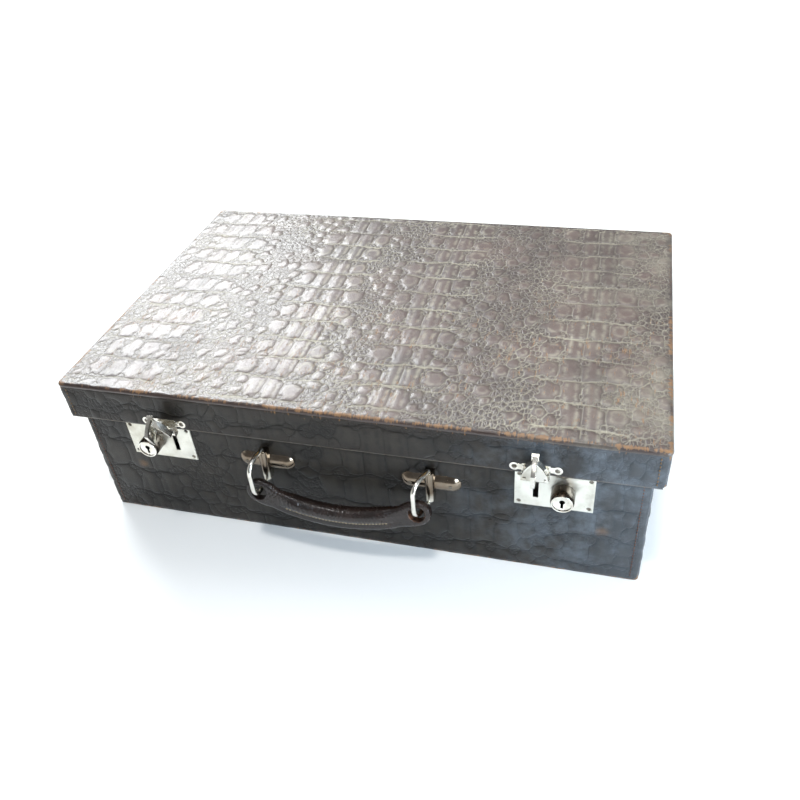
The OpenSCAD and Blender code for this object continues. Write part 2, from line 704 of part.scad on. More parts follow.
base_frame();
base_bottom_board();
base_leather_bottom();
base_leather_front();
base_leather_back();
base_leather_left();
base_leather_right();
base_lining();
lid_frame();
lid_top_board();
lid_leather_top();
lid_leather_front();
lid_leather_back();
lid_leather_left();
lid_leather_right();
lid_lining();
lock_plate_left();
lock_plate_right();
lock_case_left();
lock_case_right();
lock_rivets();
lock_spring_left();
lock_spring_right();
lock_bolt_left();
lock_bolt_right();
lock_nozzle_left();
lock_nozzle_right();
hasp_plate_left();
hasp_plate_right();
hasp_pin_left();
hasp_pin_right();
hasp_rivets();
hasp_left();
hasp_right();
handle_fitting_left();
handle_fitting_right();
handle_rivets();
ring_left();
ring_right();
handle_grip();
handle_core();
hinge_lid_leaf_left();
hinge_lid_leaf_right();
hinge_base_leaf_left();
hinge_base_leaf_right();
hinge_pin_left();
hinge_pin_right();
hinge_lid_rivets();
hinge_base_rivets();
stay_base_studs();
stay_lid_studs();
stay_lower_arm_left();
stay_lower_arm_right();
stay_upper_arm_left();
stay_upper_arm_right();
stay_elbow_rivet_left();
stay_elbow_rivet_right();
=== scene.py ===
"""Looks of a small hide attache case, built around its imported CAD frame.

Everything is in metres in the frame's own axes: +Z up, the handle and locks face -Y.
Hides and linings are dense sheets shaped by functions of flat coordinates, the embossing is
worked out in numpy, and metal parts are the CAD's own shapes with softened edges.
"""
import json
import math

import bmesh
import bpy
import numpy as np
from mathutils import Matrix, Vector

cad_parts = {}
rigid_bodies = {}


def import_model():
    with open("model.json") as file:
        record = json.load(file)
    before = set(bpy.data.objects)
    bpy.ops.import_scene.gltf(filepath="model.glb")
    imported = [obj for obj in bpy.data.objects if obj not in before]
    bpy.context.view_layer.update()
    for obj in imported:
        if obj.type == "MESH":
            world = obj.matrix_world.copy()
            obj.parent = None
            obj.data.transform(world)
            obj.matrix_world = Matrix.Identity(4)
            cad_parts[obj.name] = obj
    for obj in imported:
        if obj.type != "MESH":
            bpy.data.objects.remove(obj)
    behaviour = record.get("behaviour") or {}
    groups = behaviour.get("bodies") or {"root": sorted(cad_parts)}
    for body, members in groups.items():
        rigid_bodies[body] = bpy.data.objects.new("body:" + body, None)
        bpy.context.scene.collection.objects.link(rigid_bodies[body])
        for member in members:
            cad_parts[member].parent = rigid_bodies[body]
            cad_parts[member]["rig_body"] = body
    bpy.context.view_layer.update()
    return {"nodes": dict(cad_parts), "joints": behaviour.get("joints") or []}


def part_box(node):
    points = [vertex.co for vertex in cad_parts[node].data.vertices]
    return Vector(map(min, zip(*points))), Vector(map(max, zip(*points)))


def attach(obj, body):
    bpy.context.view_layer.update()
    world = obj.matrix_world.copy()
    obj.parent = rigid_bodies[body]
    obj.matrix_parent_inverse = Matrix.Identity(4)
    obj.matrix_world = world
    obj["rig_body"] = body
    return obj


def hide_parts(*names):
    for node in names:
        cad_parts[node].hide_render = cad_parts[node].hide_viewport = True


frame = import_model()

MM = 0.001


# ---------------------------------------------------------------- sizes from the frame
def box(node):
    """Lowest and highest corner of a CAD node as arrays."""
    low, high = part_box(node)
    return np.array(low), np.array(high)


def joint(name):
    return next(j for j in frame["joints"] if j["name"] == name)


LID_LOW, LID_HIGH = box("lid_leather_top")
HIDE = LID_HIGH[2] - LID_LOW[2]
LID_HALF = (LID_HIGH - LID_LOW)[:2] / 2
CENTRE_Y = (LID_LOW[1] + LID_HIGH[1]) / 2
LID_TOP = LID_HIGH[2]
LID_BOTTOM = box("lid_frame")[0][2]
BASE_LOW, BASE_HIGH = box("base_leather_bottom")
BASE_HALF = (BASE_HIGH - BASE_LOW)[:2] / 2
RIM_Z = box("base_frame")[1][2]
CORNER = 3.5 * MM
LINING = 0.8 * MM
BOARD = 3 * MM
WALL = HIDE + BOARD
FRONT_Y = CENTRE_Y - BASE_HALF[1]
LOCK_CASES = [box("lock_case_left"), box("lock_case_right")]

# Hide construction
ROLL = 2.2 * MM
SKIRT = 1.1 * MM
PROUD = 0.3 * MM
SEAM_ANGLE = math.radians(18)
STITCH_IN = 6 * MM
STITCH_PITCH = 2.7 * MM
STITCH_LENGTH, STITCH_R = 1.8 * MM, 0.38 * MM
STITCH_SIDES = 8
BINDING = 3.2 * MM


# ---------------------------------------------------------------- numpy helpers
def smooth(t):
    t = np.clip(t, 0, 1)
    return t * t * (3 - 2 * t)


def bell(x, width):
    return np.exp(-((x / width) ** 2))


def waves(x, rng, lengths, sizes):
    """A smooth wavy line: the sum of sines with random phases."""
    return sum(a * np.sin(2 * math.pi * x / w + rng.uniform(0, 6.28)) for w, a in zip(lengths, sizes))


# ---------------------------------------------------------------- embossing
TILE, ROUND, SMALL = 0, 1, 2
GRID = 0.5 * MM


class Emboss:
    """Reptile scales pressed into a flat panel: columns of narrow tiles, round cells beside
    them and small wrinkled cells between. Sampled with at(u, v)."""

    def __init__(self, seed, width, depth, columns, pitch, tile_w, small=(1.7, 3.2), wander=1.0,
                 middle=0.0):
        self.rng = np.random.default_rng(seed)
        self.half = np.array([width, depth]) / 2
        self.columns = columns
        self.pitch = pitch
        self.wander = wander
        self.middle = middle
        self.bend = [self.rng.uniform(0, 6.28) for _ in columns]
        self.shift = [self.rng.uniform(0, pitch) for _ in columns]
        self.seeds = []
        self.place_tiles(tile_w)
        self.scatter(ROUND, (3.6, 5.6), 0.5)
        self.scatter(SMALL, small, 4.5)
        self.paint()

    def centre(self, k, v):
        return self.columns[k] + 2.6 * MM * np.sin(2 * math.pi * v / 0.17 + self.bend[k])

    def place_tiles(self, tile_w):
        """Rows of two tiles either side of a column's middle, with round cells beside them."""
        rows = int(2 * self.half[1] / self.pitch) + 3
        for k in range(len(self.columns)):
            for row in range(-1, rows):
                v = row * self.pitch + self.shift[k] - self.half[1] + self.rng.normal(0, 0.8) * MM
                wide = tile_w * self.rng.uniform(0.9, 1.12)
                for side in (-1, 1):
                    u = self.centre(k, v) + side * wide / 2 + self.rng.normal(0, 0.4) * MM
                    self.seeds.append((u, v, wide * 0.5, self.pitch * 0.5, 3.4, TILE))
                    self.place_beside(u + side * wide * 0.5, v, side, tile_w)

    def place_beside(self, edge, v, side, tile_w):
        """One big round cell, or two small ones, beside the end of a row of tiles."""
        pick = self.rng.uniform()
        if pick < 0.72:
            rx, ry = self.rng.uniform(0.44, 0.64) * tile_w, self.rng.uniform(0.34, 0.46) * self.pitch
            self.seeds.append((edge + side * rx * 1.12, v + self.rng.normal(0, 1.4) * MM, rx, ry, 2.3, ROUND))
            edge += side * rx * 2.2
        if pick > 0.45:
            for end in (-0.27, 0.27):
                rx, ry = self.rng.uniform(0.26, 0.36) * tile_w, self.rng.uniform(0.17, 0.22) * self.pitch
                at_v = v + end * self.pitch + self.rng.normal(0, 0.8) * MM
                self.seeds.append((edge + side * rx * 1.2, at_v, rx, ry, 2.2, ROUND))

    def scatter(self, kind, radii, spread):
        """Drops cells at random where they touch no other cell."""
        kept = [np.array(s[:4]) for s in self.seeds]
        mean = (radii[0] + radii[1]) / 2 * MM
        for _ in range(int(4 * self.half[0] * self.half[1] / (math.pi * mean ** 2) * spread)):
            u, v = self.rng.uniform(-1, 1, 2) * (self.half + 4 * MM)
            radius = self.rng.uniform(*radii) * MM
            rx, ry = radius * self.rng.uniform(0.8, 1.0), radius * self.rng.uniform(1.0, 1.25)
            if kept:
                others = np.array(kept)
                reach = np.hypot((others[:, 0] - u) / (others[:, 2] + rx),
                                 (others[:, 1] - v) / (others[:, 3] + ry))
                if reach.min() < (0.96 if kind == ROUND else 0.84):
                    continue
            kept.append(np.array([u, v, rx, ry]))
            self.seeds.append((u, v, rx, ry, 2.3, kind))

    def paint(self):
        """Works out, on a fine grid, how far each point lies from the nearest crease."""
        self.size = [int(2 * h / GRID) + 1 for h in self.half]
        us = np.linspace(-self.half[0], self.half[0], self.size[0])
        vs = np.linspace(-self.half[1], self.half[1], self.size[1])
        first = np.full(self.size, 9.0)
        second = np.full(self.size, 9.0)
        owner = np.zeros(self.size, int)
        for i, (u, v, rx, ry, power, _kind) in enumerate(self.seeds):
            a0, a1 = np.searchsorted(us, [u - 3.4 * rx, u + 3.4 * rx])
            b0, b1 = np.searchsorted(vs, [v - 3.4 * ry, v + 3.4 * ry])
            if a0 == a1 or b0 == b1:
                continue
            du = np.abs(us[a0:a1, None] - u) / rx
            dv = np.abs(vs[None, b0:b1] - v) / ry
            d = (du ** power + dv ** power) ** (1 / power)
            f, s, o = first[a0:a1, b0:b1], second[a0:a1, b0:b1], owner[a0:a1, b0:b1]
            nearer = d < f
            s[...] = np.where(nearer, f, np.minimum(s, d))
            o[...] = np.where(nearer, i, o)
            f[...] = np.where(nearer, d, f)
        gap = second - first
        slope = np.hypot(*np.gradient(gap, GRID))
        crease = np.clip(gap / np.maximum(slope, 60), 0, 4 * MM)
        rows = self.row_lines(us, vs)
        crease = np.minimum(crease, rows)
        seeds = np.array(self.seeds)
        kind = seeds[owner, 5]
        across = (us[:, None] - seeds[owner, 0]) / seeds[owner, 2]
        self.crease = self.blur(crease, 1)
        self.row = self.blur(rows, 1)
        self.fine = self.blur((kind == SMALL).astype(float), 5)
        tile = self.blur((kind == TILE).astype(float), 2)
        groove = tile * bell(np.abs(across) - 0.5, 0.2)
        ring = self.blur((kind == ROUND).astype(float), 2) * bell(first - 0.62, 0.16)
        self.dust = np.clip(groove + 0.8 * ring, 0, 1)
        self.lift = (0.55 + 0.45 * (1 - self.fine)) * (1 - np.exp(-crease / (0.8 * MM)))
        self.lift += 0.3 * (1 - self.fine) * (1 - np.clip(first, 0, 1) ** 2) - 0.34 * groove
        self.lift = self.blur(self.lift, 1)

    def row_lines(self, us, vs):
        """Creases that run across between the rows of tiles and fade out sideways."""
        nearest = np.full((len(us), len(vs)), 4 * MM)
        for k in range(len(self.columns)):
            away = np.maximum(np.abs(us - self.columns[k]) - 24 * MM, 0)
            rows = int(2 * self.half[1] / self.pitch) + 3
            for row in range(-1, rows):
                v0 = (row + 0.5) * self.pitch + self.shift[k] - self.half[1]
                line = v0 + self.wander * waves(us, self.rng, (0.06, 0.023), (1.1 * MM, 0.5 * MM))
                line += waves(away, self.rng, (0.09, 0.04), (3 * MM, 2 * MM)) * smooth(away / 0.03)
                gap = np.abs(vs[None, :] - line[:, None]) * 0.9 + 0.045 * away[:, None]
                nearest = np.minimum(nearest, gap)
        return nearest

    @staticmethod
    def blur(field, times):
        for _ in range(times):
            wide = np.pad(field, 1, mode="edge")
            field = (wide[:-2, 1:-1] + wide[2:, 1:-1] + wide[1:-1, :-2] + wide[1:-1, 2:] + 2 * field) / 6
        return field

    def at(self, u, v):
        """The embossing's fields at flat points: lift (0 to about 1), crease and row (metres to
        the nearest crease or row line), fine and dust (0 to 1)."""
        a = np.clip((u + self.half[0]) / (2 * self.half[0]), 0, 1) * (self.size[0] - 1.001)
        b = np.clip((v - self.middle + self.half[1]) / (2 * self.half[1]), 0, 1) * (self.size[1] - 1.001)
        i, j = a.astype(int), b.astype(int)
        p, q = a - i, b - j
        found = {}
        for name in ("lift", "crease", "row", "fine", "dust"):
            f = getattr(self, name)
            found[name] = ((1 - p) * (1 - q) * f[i, j] + p * (1 - q) * f[i + 1, j]
                           + (1 - p) * q * f[i, j + 1] + p * q * f[i + 1, j + 1])
        return found


# ---------------------------------------------------------------- meshes and objects
def placed(name, data):
    """A new object in the scene."""
    made = bpy.data.objects.new(name, data)
    bpy.context.scene.collection.objects.link(made)
    return made


def store(mesh, key, values, domain="POINT"):
    """Keeps a number for each point or face, for the materials to read."""
    mesh.attributes.new(key, "FLOAT", domain).data.foreach_set("value", values.ravel().astype(np.float32))


def shade_smooth(mesh, sharp_from=None):
    mesh.polygons.foreach_set("use_smooth", np.ones(len(mesh.polygons), bool))
    if sharp_from is not None:
        mesh.set_sharp_from_angle(angle=math.radians(sharp_from))


# ---------------------------------------------------------------- closed sheets
def spaced(edges, pitches, step):
    """Points along a line through the given edges, with about the given pitch in each stretch
    and a number of gaps that step divides."""
    points = [np.array([edges[0]])]
    for a, b, pitch in zip(edges[:-1], edges[1:], pitches):
        count = max(1, round(abs(b - a) / pitch / step)) * step
        points.append(np.linspace(a, b, count + 1)[1:])
    return np.concatenate(points)


def sheet_mesh(name, outer, inner, step, keep, fields, flip):
    """A closed sheet. outer is a fine grid of points, inner the coarse grid behind it, with a
    point for every step outer points. keep marks the coarse cells that are there."""
    nu, nv = outer.shape[:2]
    mu, mv = inner.shape[:2]
    fine = np.arange(nu * nv).reshape(nu, nv)
    coarse = nu * nv + np.arange(mu * mv).reshape(mu, mv)
    there = np.repeat(np.repeat(keep, step, 0), step, 1)
    quads = np.stack([fine[:-1, :-1], fine[1:, :-1], fine[1:, 1:], fine[:-1, 1:]], -1)[there]
    backs = np.stack([coarse[:-1, :-1], coarse[:-1, 1:], coarse[1:, 1:], coarse[1:, :-1]], -1)[keep]
    around = np.pad(keep, 1)
    rims = []
    for a, b in zip(*np.nonzero(keep)):
        i, j = a * step, b * step
        if not around[a + 1, b]:
            rims.append([*fine[i:i + step + 1, j][::-1], coarse[a, b], coarse[a + 1, b]])
        if not around[a + 1, b + 2]:
            rims.append([*fine[i:i + step + 1, j + step], coarse[a + 1, b + 1], coarse[a, b + 1]])
        if not around[a, b + 1]:
            rims.append([*fine[i, j:j + step + 1], coarse[a, b + 1], coarse[a, b]])
        if not around[a + 2, b + 1]:
            rims.append([*fine[i + step, j:j + step + 1][::-1], coarse[a + 1, b], coarse[a + 1, b + 1]])
    faces = quads.tolist() + backs.tolist() + [[int(x) for x in rim] for rim in rims]
    if flip:
        faces = [face[::-1] for face in faces]
    points = np.concatenate([outer.reshape(-1, 3), inner.reshape(-1, 3)])
    used = np.zeros(len(points), bool)
    used[np.concatenate([np.array(face) for face in (quads.ravel(), backs.ravel())])] = True
    number = np.cumsum(used) - 1
    faces = [[int(number[x]) for x in face] for face in faces] if not used.all() else faces
    mesh = bpy.data.meshes.new(name)
    mesh.from_pydata(points[used].tolist(), [], faces)
    rim_slot = np.zeros(len(faces), np.int32)
    rim_slot[len(quads) + len(backs):] = 1
    mesh.polygons.foreach_set("material_index", rim_slot)
    for key, values in fields.items():
        store(mesh, key, np.concatenate([values.ravel(), np.zeros(mu * mv)])[used])
    shade_smooth(mesh, 50)
    mesh.validate()
    return placed(name, mesh)


def panel(name, body, nodes, slot, us, vs, step, surface, thickness, emboss=None, depth=0.0,
          keep=None, flip=False, pucker=0.0, skin=None, rim=None, fade=(0.0, 2 * MM), bound=0.0):
    """A sheet over flat coordinates us, vs. surface(u, v) gives its points, outward normals
    and wear; emboss presses its scales into it to the given depth. A strip of the width bound
    along its top edge is pressed down under a binding."""
    u, v = np.meshgrid(us, vs, indexing="ij")
    points, normals, wear = surface(u, v)
    side = np.minimum(np.minimum(u - us[0], us[-1] - u), np.minimum(v - vs[0], vs[-1] - v))
    fields = {"wear": wear, "rim_gap": side * 1000}
    lift = -0.35 * MM * (1 - smooth(side / (1.3 * MM)))
    if emboss:
        pressed = emboss.at(u, v)
        kept = smooth((side - fade[0]) / fade[1])
        lift = lift + depth * (pressed["lift"] * kept + 0.75 * (1 - kept) - 0.8)
        fields["crease"] = pressed["crease"] * 1000 + 1.5 * (1 - kept)
        fields["row"] = pressed["row"] * 1000 + 1.5 * (1 - kept)
        fields["fine"] = pressed["fine"] * kept
        fields["dust"] = pressed["dust"] * kept
        fields["lift"] = pressed["lift"] * kept + 0.75 * (1 - kept)
    if bound:
        lift = lift - 0.35 * MM * (1 - smooth((vs[-1] - v - bound) / (1.5 * MM)))
    if pucker:
        rng = np.random.default_rng(len(name))
        for _ in range(26):
            turn, length = rng.uniform(0, math.pi), rng.uniform(0.03, 0.16)
            phase = (u * math.cos(turn) + v * math.sin(turn)) / length
            lift = lift + pucker * 0.12 * np.sin(2 * math.pi * phase + rng.uniform(0, 6.28))
    outer = points + normals * lift[..., None]
    inner = (points - normals * thickness)[::step, ::step]
    cells = np.ones((inner.shape[0] - 1, inner.shape[1] - 1), bool)
    if keep is not None:
        middle = (points[::step, ::step][1:, 1:] + points[::step, ::step][:-1, :-1]) / 2
        cells = keep(middle)
    piece = sheet_mesh(name, outer, inner, step, cells, fields, flip)
    piece.data.materials.append(skin)
    piece.data.materials.append(rim or skin)
    return finish_piece(piece, body, slot, *nodes)


def clear_of(boxes, axes):
    """Marks the points that lie in none of the boxes, as seen along the axes left out."""

    def keep(points):
        kept = np.ones(points.shape[:2], bool)
        for low, high in boxes:
            kept &= ~np.all((points[..., axes] > low[axes]) & (points[..., axes] < high[axes]), -1)
        return kept

    return keep


def finish_piece(piece, body, slot, *nodes):
    """Rides a finished piece on its body and hides the CAD nodes it stands for."""
    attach(piece, body)
    if nodes:
        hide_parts(*nodes)
    return piece


def rolled(half, centre_y, face_z, up, corner, roll, curl):
    """A surface over a rectangle whose edges roll round by roll and run on. curl is -1 for a
    sheet that folds away from its seen side and 1 for a tray seen from inside."""
    core = half - corner
    flat = corner - roll

    def surface(u, v):
        inside = np.stack([np.clip(u, -core[0], core[0]), np.clip(v, -core[1], core[1])], -1)
        out = np.stack([u, v], -1) - inside
        run = np.abs(out).max(-1)
        way = out / np.maximum(np.hypot(out[..., 0], out[..., 1]), 1e-9)[..., None]
        turn = np.clip((run - flat) / roll, 0, math.pi / 2)
        past = np.maximum(run - flat - roll * math.pi / 2, 0)
        reach = np.minimum(run, flat) + roll * np.sin(turn)
        fall = roll * (1 - np.cos(turn)) + past
        xy = inside + way * reach[..., None]
        points = np.stack([xy[..., 0], xy[..., 1] + centre_y, face_z + curl * up * fall], -1)
        normals = np.stack([-curl * way[..., 0] * np.sin(turn), -curl * way[..., 1] * np.sin(turn),
                            up * np.cos(turn)], -1)
        at_corner = smooth(1 - np.hypot(half[0] - np.abs(u), half[1] - np.abs(v)) / (14 * MM))
        less = 0.3 * smooth(v / half[1] + 0.5)
        wear = bell(run - flat - 0.6 * MM, 2.7 * MM) * (0.88 + 0.4 * at_corner - less)
        return points, normals, wear

    return surface


def roll_axis(half, corner, roll, skirt, pitch, step):
    """Flat coordinates across a rolled panel, closer together over its rolled edges."""
    core = half - corner
    end = core + (corner - roll) + roll * math.pi / 2 + skirt
    return spaced([-end, -core, core, end], [0.6 * MM, pitch, 0.6 * MM], step)


def straight_wall(y, facing, z0, z1, proud):
    """A flat wall across X at y that faces -Y (facing -1) or +Y (1)."""

    def surface(u, v):
        points = np.stack([-facing * u, np.full_like(u, y + facing * proud), v], -1)
        normals = np.zeros_like(points)
        normals[..., 1] = facing
        top = bell(z1 - v, 5 * MM) * 0.5
        low = bell(v - z0, 1.2 * MM) * 0.5
        return points, normals, top + low

    return surface


def wrapped_wall(half, centre_y, facing, corner, z0, z1, nick):
    """A side wall that turns both corners. u runs along it, from corner to corner."""
    straight = half[1] - corner
    arc = corner * (math.pi / 2 - SEAM_ANGLE)

    def surface(u, v):
        run = np.abs(u)
        turn = np.clip((run - straight) / corner, 0, math.pi / 2)
        along = np.minimum(run, straight) + corner * np.sin(turn)
        out = half[0] - corner + corner * np.cos(turn)
        end = np.sign(u) * facing
        rise = v + nick * bell(turn - math.pi / 4, 0.6) * smooth(1 - (v - z0) / (6 * MM))
        points = np.stack([facing * out, centre_y + end * along, rise], -1)
        normals = np.stack([facing * np.cos(turn), end * np.sin(turn), np.zeros_like(u)], -1)
        corner_wear = bell(turn - math.pi / 4, 0.45) * (turn > 0)
        tips = bell(z1 - v, 7 * MM) + bell(v - z0, 4 * MM)
        wear = corner_wear * (0.35 + 0.65 * np.clip(tips, 0, 1)) + 0.4 * bell(z1 - v, 3 * MM)
        return points, normals, wear

    return surface, straight + arc


# ---------------------------------------------------------------- materials
class Shader:
    """A material being built round one Principled shader."""

    def __init__(self, name, **fixed):
        self.material = bpy.data.materials.new(name)
        self.material.use_nodes = True
        self.tree = self.material.node_tree
        self.main = self.tree.nodes["Principled BSDF"]
        for key, value in fixed.items():
            self.main.inputs[key.replace("_", " ").title().replace("Ior", "IOR")].default_value = value
        self.where = self.node("TexCoord").outputs["Object"]

    def node(self, kind, settings=None, **inputs):
        made = self.tree.nodes.new("ShaderNode" + kind)
        for key, value in (settings or {}).items():
            setattr(made, key, value)
        for key, value in inputs.items():
            socket = made.inputs[int(key[1:])] if key[1:].isdigit() else made.inputs[key]
            self.feed(socket, value)
        return made

    def feed(self, socket, value):
        if isinstance(value, bpy.types.NodeSocket):
            self.tree.links.new(value, socket)
        else:
            socket.default_value = value

    def math(self, operation, a, b=0.0, clamp=False):
        made = self.node("Math", {"operation": operation, "use_clamp": clamp}, _0=a, _1=b)
        return made.outputs[0]

    def times(self, a, b):
        return self.math("MULTIPLY", a, b)

    def plus(self, a, b, clamp=False):
        return self.math("ADD", a, b, clamp)

    def minus(self, a, b):
        return self.math("SUBTRACT", a, b)

    def most(self, a, b):
        return self.math("MAXIMUM", a, b)

    def ramp(self, value, low, high, to_low=0.0, to_high=1.0):
        made = self.node("MapRange", {"interpolation_type": "SMOOTHSTEP"}, _0=value, _1=low, _2=high,
                         _3=to_low, _4=to_high)
        return made.outputs[0]

    def mix(self, factor, a, b):
        made = self.node("Mix", {"data_type": "RGBA"}, _0=factor, _6=a, _7=b)
        return made.outputs[2]

    def noise(self, scale, detail=4.0, rough=0.55, stretch=None):
        made = self.node("TexNoise", None, Scale=scale, Detail=detail, Roughness=rough,
                         Vector=self.stretched(stretch))
        return made.outputs[0]

    def cells(self, scale, feature="DISTANCE_TO_EDGE", vector=None):
        made = self.node("TexVoronoi", {"feature": feature}, Scale=scale, Vector=vector or self.where)
        return made.outputs["Distance"]

    def stretched(self, stretch):
        if stretch is None:
            return self.where
        return self.node("Mapping", None, Vector=self.where, Scale=stretch).outputs[0]

    def warped(self, scale, amount, stretch=None):
        """Object coordinates pushed about by noise, so that a pattern on them bends."""
        push = self.node("TexNoise", None, Scale=scale, Detail=3.0, Vector=self.where).outputs[1]
        centred = self.node("VectorMath", {"operation": "SUBTRACT"}, _0=push, _1=(0.5, 0.5, 0.5))
        scaled = self.node("VectorMath", {"operation": "SCALE"}, _0=centred.outputs[0], Scale=amount)
        moved = self.node("VectorMath", {"operation": "ADD"}, _0=self.stretched(stretch),
                          _1=scaled.outputs[0])
        return moved.outputs[0]

    def along(self, axis):
        """Object position along one axis, in metres."""
        return self.node("SeparateXYZ", None, _0=self.where).outputs[axis]

    def field(self, name):
        return self.node("Attribute", {"attribute_name": name}).outputs["Fac"]

    def bump(self, height, distance, strength=1.0):
        return self.node("Bump", None, Height=height, Distance=distance, Strength=strength).outputs[0]

    def set(self, **values):
        names = {"color": "Base Color", "roughness": "Roughness", "normal": "Normal"}
        for key, value in values.items():
            self.feed(self.main.inputs[names[key]], value)
        return self.material


def rgb(r, g, b):
    """A colour given in the usual 0 to 255 steps, as the linear value that shaders take."""
    def linear(c):
        c /= 255
        return c / 12.92 if c <= 0.04045 else ((c + 0.055) / 1.055) ** 2.4
    return (linear(r), linear(g), linear(b), 1.0)


TAN = rgb(156, 114, 68)
CREAM = rgb(192, 186, 164)


def ground(s, dark, light, edge_dark):
    """Mottled base colour, lighter on raised tile tops and darker in the valleys, partly polish and partly a
    painted sheen and shade of the relief, and darker beside the sheet's edges.
    """
    # The lift term paints raised tile tops lighter and valleys darker: partly polish, partly a painted sheen
    # and shade of the relief.
    mottle = s.plus(s.noise(28, 6), s.times(s.minus(s.field("lift"), 0.8), 0.3))
    colour = s.mix(s.ramp(mottle, 0.3, 0.72), dark, light)
    colour = s.mix(s.ramp(s.noise(210, 3), 0.35, 0.75, 0, 0.35), colour, dark)
    return s.mix(s.ramp(s.field("rim_gap"), 4, 9, 0.7, 0), colour, edge_dark)


def creasing(s, net):
    """The pressed creases, all lines together, and furrows for the bump. net is how strongly
    cell creases show beside the row lines."""
    crease = s.ramp(s.field("crease"), 0.2, 0.95, 1, 0)
    web = s.cells(235, vector=s.warped(90, 0.006, (1.25, 0.85, 1)))
    fine = s.ramp(s.field("fine"), 0.35, 0.8)
    wrinkles = s.times(s.ramp(web, 0.02, 0.1, 1, 0), fine)
    lines = s.times(s.most(crease, s.times(wrinkles, 0.4)), net)
    lines = s.most(lines, s.ramp(s.field("row"), 0.15, 0.9, 1, 0))
    return crease, lines, s.times(fine, s.ramp(web, 0.0, 0.24, 1, 0))


def dust_and_cool_light(s, dust_and_light_from, cool_light_wash):
    """How much dust lies on the hide: patches of it towards the right, and an even wash over the right end.
    On the walls, whose dust colour is a cool blue-grey, this is partly dust and partly a painted cool light
    from the right.
    """
    dust = s.times(s.ramp(s.along(0), dust_and_light_from, dust_and_light_from + 0.13),
                   s.ramp(s.noise(38, 7, 0.7), 0.4, 0.7, 0, 0.5))
    return s.plus(dust, s.ramp(s.along(0), 0.12, 0.2, 0, cool_light_wash), clamp=True)


def worn_through(s):
    """Where the surface has chipped away, in flakes that lie across the worn edge."""
    at_end = s.ramp(s.math("ABSOLUTE", s.along(0)), LID_HALF[0] - 8 * MM, LID_HALF[0] - 4 * MM)
    chips = s.mix(at_end, s.noise(560, 5, 0.7, (1, 0.2, 0.2)), s.noise(560, 5, 0.7, (0.2, 1, 0.2)))
    groups = s.ramp(s.noise(30, 3), 0.38, 0.56, 0.62, 1.12)
    worn = s.plus(s.times(s.field("wear"), groups), s.times(s.minus(chips, 0.5), 2.8))
    return s.ramp(worn, 0.66, 0.95, 0, 0.85)


def scuffing(s, rubs):
    """Faint scuffs anywhere, and rubbed spots at the places in rubs."""
    scuff = s.ramp(s.noise(34, 7, 0.72), 0.68, 0.76, 0, 0.2)
    for place in rubs:
        far = s.node("VectorMath", {"operation": "DISTANCE"}, _0=s.where, _1=place).outputs["Value"]
        spot = s.plus(far, s.times(s.noise(170, 4), 6 * MM))
        scuff = s.most(scuff, s.ramp(spot, 3.5 * MM, 9 * MM, 0.32, 0))
    return scuff


def pressed_hide(name, dark, light, edge_dark, crease_colour, crease_share, gloss, dust_and_light_from,
                 dust_and_light_colour, shine=0.6, net=1.0, cool_light_wash=0.0, sink=0.35, painted_shadow_z=None, edge_z=None,
                 rubs=()):
    """Embossed hide: mottled colour, creases from the sheet's own fields, wrinkles between the
    scales, pores, worn tan edges and dust, which on the walls is partly a painted cool light.
    sink is how dull the creases are. Given a lid edge's height, a painted shadow darkens and dulls
    the hide below it; edge_z is the height of a lid hide's lower edge, with a painted highlight along it."""
    s = Shader(name, specular_ior_level=shine, coat_weight=shine / 3, coat_roughness=0.16)
    crease, lines, furrow = creasing(s, net)
    dusty = s.times(s.field("dust"), s.ramp(s.noise(160, 4), 0.38, 0.62, 0, 0.8))
    share = s.times(s.most(lines, dusty), s.ramp(s.noise(16, 4), 0.32, 0.66, 0.4, 1))
    colour = s.mix(s.times(share, crease_share), ground(s, dark, light, edge_dark), crease_colour)
    # Dust, and on the walls a painted cool light: blue-grey patches towards the right and a wash over the
    # right end.
    dust = dust_and_cool_light(s, dust_and_light_from, cool_light_wash)
    colour = s.mix(dust, colour, dust_and_light_colour)
    bare = worn_through(s)
    tan = s.mix(s.noise(300, 3), rgb(96, 68, 44), TAN)
    colour = s.mix(scuffing(s, rubs), s.mix(bare, colour, tan), tan)
    sunk_and_shaded = s.times(lines, sink)
    # Painted shadow: below the lid's lower edge the base walls turn nearly black and lose their shine, where
    # the lid's overhang shades them.
    if painted_shadow_z is not None:
        painted_shadow = s.ramp(s.along(2), painted_shadow_z - 9 * MM, painted_shadow_z - 1 * MM, 0, 0.85)
        colour = s.mix(painted_shadow, colour, rgb(10, 9, 8))
        sunk_and_shaded = s.most(sunk_and_shaded, painted_shadow)
    # Painted highlight: a pale line just above the lid hide's lower edge, standing in for light caught by its
    # rounded edge.
    if edge_z is not None:
        wear_and_edge_highlight = s.ramp(s.along(2), edge_z + 0.4 * MM, edge_z + 1.3 * MM, 0.36, 0)
        colour = s.mix(wear_and_edge_highlight, colour, rgb(116, 106, 94))
    height = s.plus(s.ramp(s.cells(1150), 0.02, 0.2, 0, 0.08), s.times(s.noise(700, 4), 0.14))
    for dip, depth in ((furrow, 0.45), (crease, 0.7), (bare, 0.35)):
        height = s.minus(height, s.times(dip, depth))
    dull = s.most(s.most(share, bare), dust)
    rough = s.plus(s.ramp(s.noise(60, 5), 0.3, 0.7, gloss, gloss + 0.12), s.times(dull, 0.2))
    polish = s.minus(1.0, sunk_and_shaded)
    s.feed(s.main.inputs["Specular IOR Level"], s.times(polish, shine))
    s.feed(s.main.inputs["Coat Weight"], s.times(polish, shine / 3))
    return s.set(color=colour, roughness=rough, normal=s.bump(height, 0.45 * MM, 0.8))


